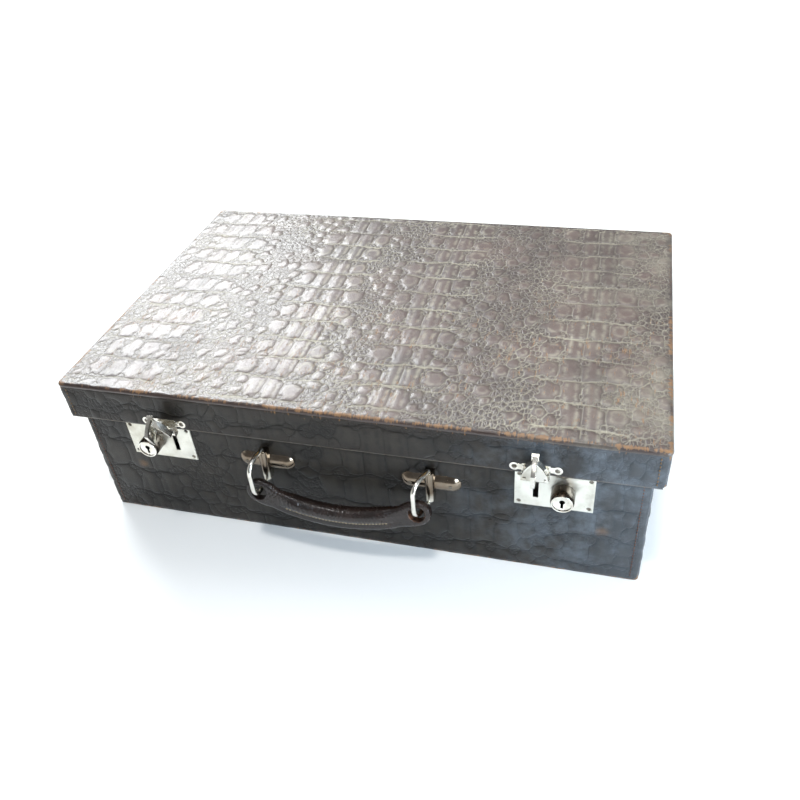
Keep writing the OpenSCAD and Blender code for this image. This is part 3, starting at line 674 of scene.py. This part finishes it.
def cut_edge(name, colour_a, colour_b):
    """The raw cut edge of hide."""
    s = Shader(name, specular_ior_level=0.3)
    fibres = s.noise(900, 5, 0.7, (0.3, 0.3, 2))
    return s.set(color=s.mix(fibres, colour_a, colour_b), roughness=s.ramp(fibres, 0.2, 0.8, 0.6, 0.85),
                 normal=s.bump(fibres, 0.2 * MM))


def smooth_hide(name, dark, light, gloss, worn, shine):
    """Polished plain leather with fine creases, worn to tan where its wear field says."""
    s = Shader(name, specular_ior_level=shine, coat_weight=shine / 3, coat_roughness=0.12)
    mottle = s.noise(70, 5)
    colour = s.mix(s.ramp(mottle, 0.3, 0.7), dark, light)
    lines = s.cells(420, vector=s.warped(200, 0.004, (1, 1, 1)))
    thin = s.ramp(lines, 0.01, 0.08, 1, 0)
    colour = s.mix(s.times(thin, 0.4), colour, dark)
    wear_and_edge_highlight = s.plus(s.field("wear"), s.minus(s.noise(350, 5, 0.7), 0.5))
    bare = s.ramp(wear_and_edge_highlight, 0.6, 1.0, 0, worn)
    colour = s.mix(bare, colour, rgb(124, 84, 60))
    ridges = s.noise(1000, 4, 0.6, (1, 0.2, 0.2))
    height = s.minus(s.times(ridges, 1.4), s.times(thin, 0.35))
    rough = s.plus(s.ramp(mottle, 0.3, 0.7, gloss, gloss + 0.14), s.times(bare, 0.3))
    return s.set(color=colour, roughness=rough, normal=s.bump(height, 0.25 * MM, 0.7))


def plated(name, colour, tarnish, roughness, spots=0.5, barrel=False, dark_reflection_from=None):
    """Nickel plate: brushed by years of wiping, with tarnish in soft patches and small pits,
    dark brown round a barrel, and above a given height darker brown, a painted reflection of a dark room."""
    s = Shader(name, metallic=1.0)
    patches = s.ramp(s.noise(55, 6, 0.6), 0.42, 0.75, 0, 0.8)
    pits = s.ramp(s.cells(520, "F1"), 0.05, 0.16, spots, 0)
    pits = s.times(pits, s.ramp(s.noise(140, 3), 0.5, 0.62))
    shade = s.mix(s.most(patches, pits), colour, tarnish)
    if barrel:
        shade = s.mix(s.times(s.field("barrel"), 0.92), shade, rgb(66, 53, 42))
    # Painted reflection: above the given height the plate turns dark brown, standing in for the dark room its
    # upper part reflects.
    if dark_reflection_from is not None:
        height = s.plus(s.along(2), s.times(s.noise(150, 3), 3 * MM))
        painted_dark_reflection = s.ramp(height, dark_reflection_from, dark_reflection_from + 3.2 * MM, 0, 0.8)
        shade = s.mix(painted_dark_reflection, shade, rgb(98, 80, 62))
    rough = s.plus(s.ramp(s.noise(240, 5), 0.3, 0.7, roughness, roughness + 0.1),
                   s.times(pits, 0.4))
    wipes = s.noise(1500, 3, 0.6, (0.15, 1, 1))
    height = s.minus(s.times(wipes, 0.12), pits)
    return s.set(color=shade, roughness=rough, normal=s.bump(height, 0.06 * MM, 0.5))


def woven(name, colour_a, colour_b):
    """Plain-weave lining cloth, a little stained."""
    s = Shader(name, specular_ior_level=0.2, sheen_weight=0.2)
    x, y, z = s.node("SeparateXYZ", None, _0=s.where).outputs
    threads = 2600.0
    warp = s.math("SINE", s.times(s.plus(x, z), threads * 2))
    weft = s.math("SINE", s.times(s.plus(y, z), threads * 2))
    weave = s.plus(s.times(s.times(warp, weft), 0.5), 0.5)
    stain = s.ramp(s.noise(14, 6), 0.35, 0.7)
    colour = s.mix(stain, colour_a, colour_b)
    colour = s.mix(s.times(weave, 0.25), colour, colour_b)
    rough = s.ramp(stain, 0, 1, 0.8, 0.92)
    return s.set(color=colour, roughness=rough, normal=s.bump(weave, 0.12 * MM, 0.6))


def fibreboard(name):
    s = Shader(name, specular_ior_level=0.25)
    fibres = s.noise(700, 6, 0.7, (0.4, 0.4, 1.6))
    colour = s.mix(fibres, rgb(120, 92, 58), rgb(176, 146, 102))
    return s.set(color=colour, roughness=s.ramp(fibres, 0.2, 0.8, 0.75, 0.9), normal=s.bump(fibres, 0.2 * MM))


def thread(name, colour_a, colour_b):
    s = Shader(name, specular_ior_level=0.3)
    twist = s.node("TexWave", {"bands_direction": "DIAGONAL"}, Scale=900.0, Distortion=1.0,
                   Vector=s.where).outputs[1]
    age = s.noise(120, 3)
    return s.set(color=s.mix(age, colour_a, colour_b), roughness=s.ramp(age, 0.3, 0.7, 0.6, 0.8),
                 normal=s.bump(twist, 0.15 * MM))


# The walls' blue-grey dust colour and their wash over the right end are partly dust and partly a painted cool
# light from the right.
SIDE = {"dark": rgb(20, 17, 14), "light": rgb(41, 36, 30), "edge_dark": rgb(33, 27, 22),
        "crease_colour": rgb(9, 8, 7), "crease_share": 0.8, "gloss": 0.27, "dust_and_light_from": 0.03,
        "dust_and_light_colour": rgb(104, 112, 120), "shine": 0.27, "net": 0.5, "cool_light_wash": 0.3, "sink": 0.6}
TOP = {"dark": rgb(56, 42, 37), "light": rgb(90, 72, 65), "edge_dark": rgb(44, 31, 26),
       "crease_colour": CREAM, "crease_share": 0.66, "gloss": 0.29, "dust_and_light_from": 0.08,
       "dust_and_light_colour": rgb(146, 141, 124)}
RUBS = [(box("lock_plate_right")[1][0] + 7 * MM, FRONT_Y, box("lock_plate_right")[0][2] - 16 * MM),
        (box("lock_plate_left")[0][0] + 2 * MM, FRONT_Y, box("lock_plate_left")[0][2] - 12 * MM)]
MAT = {
    "top": pressed_hide("hide_top", **TOP),
    "side": pressed_hide("hide_base", **SIDE, painted_shadow_z=LID_BOTTOM, rubs=RUBS),
    "lid_side": pressed_hide("hide_lid_side", **SIDE, edge_z=LID_BOTTOM),
    "cut": cut_edge("hide_cut_edge", rgb(104, 74, 46), rgb(160, 120, 78)),
    "grip": smooth_hide("grip_hide", rgb(19, 13, 11), rgb(38, 27, 23), 0.16, 0.7, 0.45),
    "bound": smooth_hide("binding_hide", rgb(30, 24, 21), rgb(54, 45, 39), 0.4, 0.5, 0.25),
    "core": cut_edge("core_leather", rgb(120, 84, 50), rgb(170, 130, 86)),
    "nickel": plated("nickel", rgb(236, 233, 224), rgb(176, 168, 150), 0.13),
    "plate": plated("plate_nickel", rgb(226, 225, 216), rgb(176, 170, 154), 0.3, 0.9),
    "nozzle": plated("nozzle_nickel", rgb(236, 233, 224), rgb(160, 146, 122), 0.2, barrel=True),
    "worn_nickel": plated("worn_nickel", rgb(206, 200, 186), rgb(122, 106, 86), 0.14, 0.8),
    "fitting": plated("fitting_nickel", rgb(214, 209, 196), rgb(134, 118, 98), 0.14, 0.8,
                      dark_reflection_from=box("handle_fitting_left")[0][2] + 6.5 * MM),
    "rivet": plated("rivet_steel", rgb(128, 122, 112), rgb(70, 60, 50), 0.3, 0.9),
    "steel": plated("lock_steel", rgb(150, 148, 144), rgb(96, 86, 74), 0.34, 0.9),
    "spring": plated("spring_steel", rgb(120, 128, 142), rgb(80, 76, 78), 0.25, 0.6),
    "lining": woven("lining_cloth", rgb(150, 134, 104), rgb(124, 108, 80)),
    "board": fibreboard("fibreboard"),
    "base_thread": thread("base_thread", rgb(66, 46, 40), rgb(112, 80, 66)),
    "thread": thread("corner_thread", rgb(78, 60, 42), rgb(136, 108, 74)),
    "grip_thread": thread("grip_thread", rgb(168, 148, 116), rgb(206, 192, 160)),
}


# ---------------------------------------------------------------- hides
PITCH = 1.1 * MM
STEP = 4
WALL_RELIEF = 0.55 * MM


def wall_axis(z0, z1):
    return spaced([z0, z0 + 3 * MM, z1], [0.7 * MM, 1.15 * MM], STEP)


def lid_top():
    half = LID_HALF + PROUD
    grow = CORNER + PROUD
    us = roll_axis(half[0], grow, ROLL, SKIRT, PITCH, STEP)
    vs = roll_axis(half[1], grow, ROLL, SKIRT, PITCH, STEP)
    width = 2 * LID_HALF[0]
    columns = [width * (share - 0.5) for share in (0.10, 0.365, 0.575, 0.865)]
    emboss = Emboss(11, us[-1] * 2, vs[-1] * 2, columns, 23 * MM, 13 * MM)
    surface = rolled(half, CENTRE_Y, LID_TOP, 1, grow, ROLL, -1)
    panel("lid_top_hide", "lid", ["lid_leather_top"], "hide_top", us, vs, STEP, surface, HIDE * 0.8, emboss,
          0.5 * MM, skin=MAT["top"], rim=MAT["side"], fade=(2 * MM, 5 * MM))


def base_bottom():
    half = BASE_HALF
    us = roll_axis(half[0], CORNER, ROLL * 0.6, SKIRT * 0.7, 3 * MM, STEP)
    vs = roll_axis(half[1], CORNER, ROLL * 0.6, SKIRT * 0.7, 3 * MM, STEP)
    columns = [-0.12, -0.04, 0.04, 0.12]
    emboss = Emboss(5, us[-1] * 2, vs[-1] * 2, columns, 24 * MM, 13 * MM, small=(2.6, 4.4))
    surface = rolled(half, CENTRE_Y, 0.0, -1, CORNER, ROLL * 0.6, -1)
    panel("base_bottom_hide", "base", ["base_leather_bottom"], "hide", us, vs, STEP, surface, HIDE * 0.8,
          emboss, 0.12 * MM, flip=True, skin=MAT["side"], rim=MAT["cut"])


def wall_hides(body, half, z0, z1, nick, seed, columns, cutouts=()):
    """The four wall hides of the lid or the base."""
    prefix = "lid" if body == "lid" else "base"
    skin = MAT["lid_side" if body == "lid" else "side"]
    bound = BINDING if body == "base" else 0.0
    vs = wall_axis(z0, z1)
    middle = (z0 + z1) / 2
    reach = half[0] - CORNER + CORNER * math.sin(SEAM_ANGLE)

    for side, facing in (("front", -1), ("back", 1)):
        us = spaced([-reach, reach], [PITCH * 1.15], STEP)
        emboss = Emboss(seed + facing, reach * 2, (z1 - z0) + 4 * MM, columns, 26 * MM, 15 * MM,
                        small=(3.2, 6.0), wander=2.2, middle=middle)
        surface = straight_wall(CENTRE_Y + facing * half[1], facing, z0, z1, PROUD * 0.7)
        panel(f"{prefix}_{side}_hide", body, [f"{prefix}_leather_{side}"], "hide", us, vs, STEP,
              surface, HIDE, emboss, WALL_RELIEF, skin=skin, rim=MAT["cut"],
              keep=clear_of(cutouts, [0, 2]) if side == "front" else None, bound=bound)
    for side, facing in (("right", 1), ("left", -1)):
        surface, end = wrapped_wall(half, CENTRE_Y, facing, CORNER, z0, z1, nick)
        straight = half[1] - CORNER
        us = spaced([-end, -straight, straight, end], [0.7 * MM, PITCH * 1.3, 0.7 * MM], STEP)
        emboss = Emboss(seed + 10 + facing, end * 2, (z1 - z0) + 4 * MM, [-0.09, -0.03, 0.03, 0.09], 26 * MM,
                        15 * MM, small=(3.2, 6.0), wander=2.2, middle=middle)
        panel(f"{prefix}_{side}_hide", body, [f"{prefix}_leather_{side}"], "hide", us, vs, STEP,
              surface, HIDE, emboss, WALL_RELIEF, skin=skin, rim=MAT["cut"],
              bound=bound)


lid_top()
base_bottom()
wall_hides("lid", LID_HALF, LID_BOTTOM, LID_TOP - ROLL - SKIRT * 0.4, 1.4 * MM, 30,
           [-0.13, -0.05, 0.03, 0.12])
wall_hides("base", BASE_HALF, HIDE * 1.1, RIM_Z, 0.0, 60, [-0.15, -0.07, 0.01, 0.08, 0.16], LOCK_CASES)

# ---------------------------------------------------------------- inside
def tray(name, body, node, half, face_z, up, edge_z, pucker, openings=()):
    """A cloth lining seen from inside: the flat part and walls that turn up to edge_z, with
    openings in its front wall where the given boxes pass through."""
    corner, roll = 2.6 * MM, 2.0 * MM
    skirt = abs(edge_z - face_z) - roll
    core = half - corner
    bend = corner - roll + roll * math.pi / 2
    end = core + bend + skirt
    us, vs = ([(-e, 3), (-e + skirt, 0.8), (-c, 2.6), (c, 0.8), (e - skirt, 3)] for e, c in zip(end, core))
    for low, high in openings:
        us += [(low[0], 2.6), (high[0], 2.6)]
        vs += [(-core[1] - bend - (z - face_z - roll), 3) for z in (low[2], high[2])]
    us, vs = sorted(us), sorted(set(vs))
    us, vs = (spaced([m for m, _ in marks] + [e], [p * MM for _, p in marks], STEP)
              for marks, e in ((us, end[0]), (vs, end[1])))
    surface = rolled(half, CENTRE_Y, face_z, up, corner, roll, 1)

    panel(name, body, [node], "lining", us, vs, STEP, surface, LINING * 0.8, flip=up < 0, pucker=pucker,
          keep=clear_of(openings, [0, 1, 2]), skin=MAT["lining"])


def rim_binding():
    """Thin leather bent over the top edge of the base's walls."""
    out_half, in_half = BASE_HALF, BASE_HALF - WALL - LINING
    over, thick, deep = 0.4 * MM, 0.35 * MM, BINDING
    loop = rounded_loop(BASE_HALF, CORNER)
    section = []
    wide = (out_half - in_half)[0]
    for reach, low in ((over, -deep), (over, over * 0.4), (0.1 * MM, over), (-wide + 0.1 * MM, over),
                       (-wide - over * 0.7, over * 0.4), (-wide - over * 0.7, -deep),
                       (-wide - 0.02 * MM, -deep), (-wide - 0.02 * MM, over - thick),
                       (0.02 * MM, over - thick), (0.02 * MM, -deep)):
        section.append((reach, RIM_Z + low))
    rings = [[(x + nx * reach, y + ny * reach, z) for reach, z in section] for x, y, nx, ny in loop]
    fields = {"wear": np.full((len(loop), len(section)), 0.25)}
    piece = swept("base_rim_binding", rings, closed=True, fields=fields)
    piece.data.materials.append(MAT["bound"])
    finish_piece(piece, "base", "hide")


def rounded_loop(half, corner):
    """Points and outward normals round a rectangle with rounded corners, about Z."""
    found = []
    for quarter in range(4):
        turn = quarter * math.pi / 2
        sx, sy = ((1, 1), (-1, 1), (-1, -1), (1, -1))[quarter]
        for i in range(9):
            a = turn + i * math.pi / 16
            nx, ny = math.cos(a), math.sin(a)
            found.append((sx * (half[0] - corner) + nx * corner,
                          CENTRE_Y + sy * (half[1] - corner) + ny * corner, nx, ny))
    dense = []
    for p, q in zip(found, found[1:] + found[:1]):
        count = max(1, round(math.dist(p[:2], q[:2]) / (8 * MM)))
        dense += [tuple(np.array(p) + (np.array(q) - np.array(p)) * t / count) for t in range(count)]
    return dense


def swept(name, rings, closed=False, fields=None):
    """A mesh through rings of points, joined end to end or capped."""
    count, size = len(rings), len(rings[0])
    points = [point for ring in rings for point in ring]
    faces = []
    for i in range(count if closed else count - 1):
        for j in range(size):
            a, b = i * size, (i + 1) % count * size
            k = (j + 1) % size
            faces.append((a + j, b + j, b + k, a + k))
    if not closed:
        faces.append(tuple(range(size)))
        faces.append(tuple(range((count - 1) * size, count * size))[::-1])
    mesh = bpy.data.meshes.new(name)
    mesh.from_pydata(points, [], faces)
    outward(mesh)
    for key, values in (fields or {}).items():
        store(mesh, key, values)
    shade_smooth(mesh, 40)
    return placed(name, mesh)


def outward(mesh):
    """Turns a closed mesh's faces to look out of it."""
    work = bmesh.new()
    work.from_mesh(mesh)
    bmesh.ops.recalc_face_normals(work, faces=work.faces)
    work.to_mesh(mesh)
    work.free()


base_lining = box("base_lining")
lid_lining = box("lid_lining")
tray("base_lining_cloth", "base", "base_lining", (base_lining[1] - base_lining[0])[:2] / 2 - LINING,
     base_lining[0][2] + LINING, 1, RIM_Z - 0.2 * MM, 0.3 * MM,
     LOCK_CASES)
tray("lid_lining_cloth", "lid", "lid_lining", (lid_lining[1] - lid_lining[0])[:2] / 2 - LINING,
     lid_lining[1][2] - LINING, -1, lid_lining[0][2], 0.3 * MM)
rim_binding()


# ---------------------------------------------------------------- stitching
def capsule(rings, middle, way, side, out, length, radius):
    """Adds one stitch: a rounded bar along way, flattened against the hide."""
    for t in np.linspace(-1, 1, 9):
        full = math.sqrt(max(1 - abs(t) ** 3.5, 0.0)) * radius
        spot = middle + way * (t * length / 2) + out * (full * 0.55 - radius * 0.25 * t * t)
        rings.append([spot + side * full * math.cos(a) + out * full * 0.7 * math.sin(a)
                      for a in np.linspace(0, 2 * math.pi, STITCH_SIDES + 1)[:-1]])


def stitches(name, body, slot, spots, material, length, radius):
    """One mesh of separate stitches. Each spot is middle, direction, sideways and outward."""
    points, faces = [], []
    for middle, way, side, out in spots:
        rings = []
        capsule(rings, np.array(middle), np.array(way), np.array(side), np.array(out), length, radius)
        start = len(points)
        points += [tuple(p) for ring in rings for p in ring]
        for i in range(len(rings) - 1):
            for j in range(STITCH_SIDES):
                a, k = start + i * STITCH_SIDES, (j + 1) % STITCH_SIDES
                b = a + STITCH_SIDES
                faces.append((a + j, b + j, b + k, a + k))
        faces.append(tuple(range(start, start + STITCH_SIDES)))
        faces.append(tuple(range(len(points) - STITCH_SIDES, len(points)))[::-1])
    mesh = bpy.data.meshes.new(name)
    mesh.from_pydata(points, [], faces)
    mesh.validate()
    outward(mesh)
    shade_smooth(mesh)
    mesh.materials.append(material)
    finish_piece(placed(name, mesh), body, slot)


def corner_stitches(name, body, half, z0, z1, material):
    spots = []
    count = int((z1 - z0) / STITCH_PITCH)
    rng = np.random.default_rng(3)
    for facing in (-1, 1):
        y = CENTRE_Y + facing * (half[1] + PROUD * 0.7)
        for side in (-1, 1):
            for i in range(count):
                z = z0 + (i + 0.5) * (z1 - z0) / count
                lean = rng.normal(0, 0.07)
                place = (side * (half[0] - STITCH_IN), y, z)
                spots.append((place, (lean, 0, 1), (1, 0, -lean), (0, facing, 0)))
    stitches(name, body, "hide", spots, material, STITCH_LENGTH, STITCH_R)


corner_stitches("lid_corner_stitches", "lid", LID_HALF, LID_BOTTOM + 2 * MM, LID_TOP - 4 * MM, MAT["thread"])
corner_stitches("base_corner_stitches", "base", BASE_HALF, 4 * MM, LID_BOTTOM - 1 * MM, MAT["base_thread"])


# ---------------------------------------------------------------- handle
GRIP = {"span": 110.1, "sag": 12.0, "radius": 8.2, "tab_r": 9.0, "tab_half": 3.1, "hole_r": 5.5,
        "flange_half": 1.9, "body_r": 5.7, "seam": 2.7, "slope": 75.0, "drop": 14.0, "out": 11.5}
GRIP_SIDES = 48
GRIP["arc"] = (GRIP["span"] ** 2 / 4 + GRIP["sag"] ** 2) / (2 * GRIP["sag"])
GRIP["half_angle"] = math.asin(GRIP["span"] / 2 / GRIP["arc"])


def hang():
    """The handle's own flat frame, in millimetres, as it hangs from its rings."""
    pivot = Vector(joint("handle_swing")["pos_m"])
    place = pivot + Vector((0, -GRIP["out"], -GRIP["drop"])) * MM
    slope = Matrix.Rotation(math.radians(GRIP["slope"]), 4, "X")
    return Matrix.Translation(place) @ slope @ Matrix.Scale(MM, 4)


def grip_section(angle, n):
    """Half thickness of the grip at n, measured outward across it, at an angle along its arc."""
    body = np.sqrt(np.maximum(GRIP["body_r"] ** 2 - (n + GRIP["radius"] - GRIP["body_r"]) ** 2, 0))
    flange = GRIP["flange_half"] * np.sqrt(np.maximum(1 - np.abs(n / GRIP["radius"]) ** 6, 0)) * (n > 0)
    teardrop = np.maximum(body, flange) - 0.3 * bell(n - GRIP["seam"], 0.7)
    edge = np.maximum(1 - np.abs(n / tab_width(angle)) ** 7, 0)
    tab = GRIP["tab_half"] * np.sqrt(edge)
    share = smooth((np.degrees(np.abs(angle)) - 12.5) / 6.5)
    return teardrop * (1 - share) + tab * share


def tab_width(angle):
    """Half width of the grip along its arc: round at the ends, about its holes."""
    past = (np.abs(angle) - GRIP["half_angle"]) * GRIP["arc"]
    neck = bell(np.degrees(np.abs(angle)) - 18.5, 3.0) * 0.9
    swell = smooth((np.degrees(np.abs(angle)) - 19) / 4) * (GRIP["tab_r"] - GRIP["radius"])
    round_end = np.sqrt(np.maximum(GRIP["tab_r"] ** 2 - np.maximum(past, 0) ** 2, 0.3))
    return np.where(past > 0, round_end, GRIP["radius"] - neck + swell)


def grip_point(angle, n, z):
    r = GRIP["arc"] + n
    return np.stack([r * np.sin(angle), GRIP["arc"] - GRIP["sag"] - r * np.cos(angle), z], -1)


def grip_blank():
    """The grip without its holes: rings across it, from one end to the other."""
    end = GRIP["half_angle"] + (GRIP["tab_r"] - 0.05) / GRIP["arc"]
    rings = []
    for t in np.linspace(-1, 1, 181):
        angle = end * np.sign(t) * abs(t) ** 0.92
        turn = np.linspace(0, 2 * math.pi, GRIP_SIDES + 1)[:-1]
        n = tab_width(np.array(angle)) * np.cos(turn) * 0.999
        z = grip_section(np.array(angle), n) * np.sign(np.sin(turn))
        rings.append([tuple(p) for p in grip_point(np.full(GRIP_SIDES, angle), n, z)])
    return swept("handle_hide", rings)


def through(piece, places, radius):
    """Cuts round holes through a piece along its own Z."""
    for x in places:
        bpy.ops.mesh.primitive_cylinder_add(radius=radius, depth=30, vertices=64, location=(x, 0, 0))
        cutter = bpy.context.object
        modifier = piece.modifiers.new("hole", "BOOLEAN")
        modifier.operation, modifier.object, modifier.solver = "DIFFERENCE", cutter, "EXACT"
        settle(piece)
        bpy.data.objects.remove(cutter, do_unlink=True)


def settle(piece):
    """Replaces a piece's mesh by what its modifiers make of it."""
    graph = bpy.context.evaluated_depsgraph_get()
    made = bpy.data.meshes.new_from_object(piece.evaluated_get(graph))
    piece.modifiers.clear()
    piece.data = made


def wrinkled(points, rng):
    """How far the grip's skin rises in millimetres: close bends across it, and small dents."""
    along = np.arctan2(points[:, 0], GRIP["arc"] - GRIP["sag"] - points[:, 1]) * GRIP["arc"]
    across = np.hypot(points[:, 0], GRIP["arc"] - GRIP["sag"] - points[:, 1]) - GRIP["arc"]
    rise = np.zeros(len(points))
    for length, size in ((5.1, 0.13), (3.6, 0.13), (2.5, 0.11), (1.7, 0.05)):
        lean, phase = rng.uniform(-0.5, 0.5), rng.uniform(0, 6.28)
        bend = 0.5 * np.sin(across * 0.9 + phase) + lean * across
        wave = np.sin(2 * math.pi * (along + bend) / length + phase)
        patch = 0.5 + 0.5 * np.sin(along / (length * 3.1) + across * 0.4 + phase)
        rise += size * (wave if length < 4 else (1 - np.abs(wave) ** 0.6) * -2) * patch
    return rise * (0.35 + 0.65 * smooth((26 - along) / 30)) * (across < GRIP["seam"])


def handle():
    piece = grip_blank()
    through(piece, (-GRIP["span"] / 2, GRIP["span"] / 2), GRIP["hole_r"])
    remesh = piece.modifiers.new("even", "REMESH")
    remesh.mode, remesh.voxel_size, remesh.use_smooth_shade = "VOXEL", 0.42, True
    soften = piece.modifiers.new("soften", "SMOOTH")
    soften.factor, soften.iterations = 0.5, 4
    settle(piece)
    mesh = piece.data
    flat = np.empty(len(mesh.vertices) * 3)
    mesh.vertices.foreach_get("co", flat)
    points = flat.reshape(-1, 3)
    normals = np.empty(len(flat))
    mesh.vertices.foreach_get("normal", normals)
    points = points + normals.reshape(-1, 3) * wrinkled(points, np.random.default_rng(8))[:, None]
    holes = np.array([(-GRIP["span"] / 2, 0), (GRIP["span"] / 2, 0)])
    far = np.hypot(points[:, None, 0] - holes[None, :, 0], points[:, None, 1] - holes[None, :, 1])
    wear = bell(far[:, 0] - GRIP["hole_r"], 0.9) * 0.4 + bell(far[:, 1] - GRIP["hole_r"], 1.6) * 0.75
    wear += 0.45 * bell(far[:, 1] - GRIP["tab_r"], 0.8)
    mesh.vertices.foreach_set("co", points.ravel())
    mesh.transform(hang())
    store(mesh, "wear", wear)
    mesh.materials.clear()
    mesh.materials.append(MAT["grip"])
    shade_smooth(mesh)
    finish_piece(piece, "handle", "grip_leather", "handle_grip")
    grip_stitches()


def grip_stitches():
    """The seam that closes the grip, on both of its faces, just below its round body."""
    spots, place = [], hang()
    turn = place.to_3x3()
    reach = 15.2 / math.degrees(1)
    n = GRIP["seam"]
    for angle in np.arange(-reach, reach, 2.3 / GRIP["arc"]):
        for face in (-1, 1):
            z = face * float(grip_section(np.array(angle), np.array(n)))
            middle = place @ Vector(grip_point(np.array(angle), n, z).tolist())
            way = (turn @ Vector((math.cos(angle), math.sin(angle), 0))).normalized()
            out = (turn @ Vector((0, 0, face))).normalized()
            side = way.cross(out)
            lean = (way + side * 0.5 * face).normalized()
            spots.append((list(middle), list(lean), list(lean.cross(out)), list(out)))
    stitches("handle_stitches", "handle", "grip_leather", spots, MAT["grip_thread"], 1.7 * MM, 0.42 * MM)


handle()


# ---------------------------------------------------------------- metal
METAL_EDGE = 0.14 * MM
SHARP_ANGLE = math.radians(38)
BARREL_FACING = 0.45


def pairs(*stems):
    """The left and right node names of each stem."""
    return [f"{stem}_{side}" for stem in stems for side in ("left", "right")]


METALS = {
    "nickel": pairs("hasp_plate", "hasp", "ring"),
    "plate": pairs("lock_plate"),
    "nozzle": pairs("lock_nozzle"),
    "fitting": pairs("handle_fitting"),
    "worn_nickel": pairs("hinge_lid_leaf", "hinge_base_leaf", "stay_lower_arm", "stay_upper_arm"),
    "rivet": ["lock_rivets", "hasp_rivets", "handle_rivets", "hinge_lid_rivets", "hinge_base_rivets",
              *pairs("hasp_pin", "hinge_pin"), "stay_base_studs", "stay_lid_studs",
              *pairs("stay_elbow_rivet")],
    "steel": pairs("lock_case"),
}
METAL_SLOTS = {"rivet": "rivet_steel", "steel": "lock_steel"}
HIDDEN = {
    "steel": pairs("lock_bolt"),
    "spring": pairs("lock_spring"),
    "board": ["base_frame", "base_bottom_board", "lid_frame", "lid_top_board"],
    "core": ["handle_core"],
}


def softened(node, kind):
    """The CAD's own metal shape with its sharp edges rounded, as stamping and polishing leave it."""
    source = frame["nodes"][node]
    work = bmesh.new()
    work.from_mesh(source.data)
    work.transform(source.matrix_world)
    bmesh.ops.remove_doubles(work, verts=work.verts, dist=0.002 * MM)
    bmesh.ops.dissolve_limit(work, angle_limit=math.radians(0.6), verts=work.verts, edges=work.edges)
    sharp = [e for e in work.edges if e.is_manifold and e.calc_face_angle(0) > SHARP_ANGLE]
    bmesh.ops.bevel(work, geom=sharp, offset=METAL_EDGE, segments=2, profile=0.6, affect="EDGES",
                    clamp_overlap=True)
    mesh = bpy.data.meshes.new(node + "_metal")
    work.to_mesh(mesh)
    work.free()
    shade_smooth(mesh, 36)
    facing = np.empty(len(mesh.polygons) * 3)
    mesh.polygons.foreach_get("normal", facing)
    store(mesh, "barrel", np.abs(facing[1::3]) < BARREL_FACING, "FACE")
    mesh.materials.clear()
    mesh.materials.append(MAT[kind])
    finish_piece(placed(node + "_metal", mesh), source["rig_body"], METAL_SLOTS.get(kind, "nickel"), node)


def metalwork():
    for kind, nodes in METALS.items():
        for node in nodes:
            softened(node, kind)


def paint_hidden():
    for material, nodes in HIDDEN.items():
        for node in nodes:
            mesh = frame["nodes"][node].data
            mesh.materials.clear()
            mesh.materials.append(MAT[material])


metalwork()
paint_hidden()


# ---------------------------------------------------------------- floor, light and camera
def stage():
    bpy.ops.mesh.primitive_plane_add(size=12, location=(0, 0, 0))
    floor = bpy.context.object
    floor.name = "floor"
    s = Shader("floor", specular_ior_level=0.3)
    rough = s.ramp(s.noise(3, 2), 0, 1, 0.6, 0.7)
    floor.data.materials.append(s.set(color=rgb(246, 246, 244), roughness=rough))


def area_light(name, place, target, size, power, colour):
    data = bpy.data.lights.new(name, "AREA")
    data.shape = "RECTANGLE"
    data.size, data.size_y = size
    data.energy = power
    data.color = colour
    lamp = placed(name, data)
    lamp.location = place
    lamp.rotation_euler = (Vector(target) - Vector(place)).to_track_quat("-Z", "Y").to_euler()


def lights():
    world = bpy.data.worlds.new("studio")
    world.use_nodes = True
    tree = world.node_tree
    rise = tree.nodes.new("ShaderNodeSeparateXYZ")
    fade = tree.nodes.new("ShaderNodeMapRange")
    shade = tree.nodes.new("ShaderNodeMix")
    shade.data_type = "RGBA"
    fade.inputs["From Min"].default_value, fade.inputs["From Max"].default_value = 0.0, 0.6
    shade.inputs[6].default_value = (0.70, 0.71, 0.72, 1)
    shade.inputs[7].default_value = (0.42, 0.43, 0.45, 1)
    tree.links.new(tree.nodes.new("ShaderNodeTexCoord").outputs["Generated"], rise.inputs[0])
    tree.links.new(rise.outputs["Z"], fade.inputs["Value"])
    tree.links.new(fade.outputs[0], shade.inputs[0])
    tree.links.new(shade.outputs[2], tree.nodes["Background"].inputs[0])
    room = tree.nodes.new("ShaderNodeMapRange")
    for key, value in (("From Min", -0.8), ("From Max", 0.0), ("To Min", 0.45), ("To Max", 1.0)):
        room.inputs[key].default_value = value
    tree.links.new(rise.outputs["Y"], room.inputs["Value"])
    tree.links.new(room.outputs[0], tree.nodes["Background"].inputs[1])
    bpy.context.scene.world = world
    area_light("window", (-1.55, 1.78, 1.6), (-0.1, 0.0, 0.1), (1.4, 1.0), 72, (0.95, 0.985, 1.0))
    area_light("overhead", (0.1, 1.3, 2.3), (0, 0, 0), (1.8, 1.6), 29, (0.97, 0.99, 1.0))
    area_light("cool_side", (0.66, -0.58, 0.36), (0.2, -0.12, 0.05), (0.4, 0.35), 9, (0.72, 0.86, 1.0))
    area_light("ceiling", (0.1, -0.5, 1.5), (0, -0.1, 0), (0.16, 0.16), 8, (1.0, 0.99, 0.97))


def camera():
    data = bpy.data.cameras.new("camera")
    data.lens, data.sensor_width = 35.52, 36
    data.clip_start, data.clip_end = 0.01, 50
    eye = placed("camera", data)
    tilt, roll, turn = 51.3347, 4.1146, 14.636
    eye.location = (0.1553, CENTRE_Y - 0.48065, 0.4287)
    eye.rotation_euler = [math.radians(angle) for angle in (tilt, roll, turn)]
    bpy.context.scene.camera = eye
    bpy.context.scene.view_settings.view_transform = "Standard"


stage()
lights()
camera()
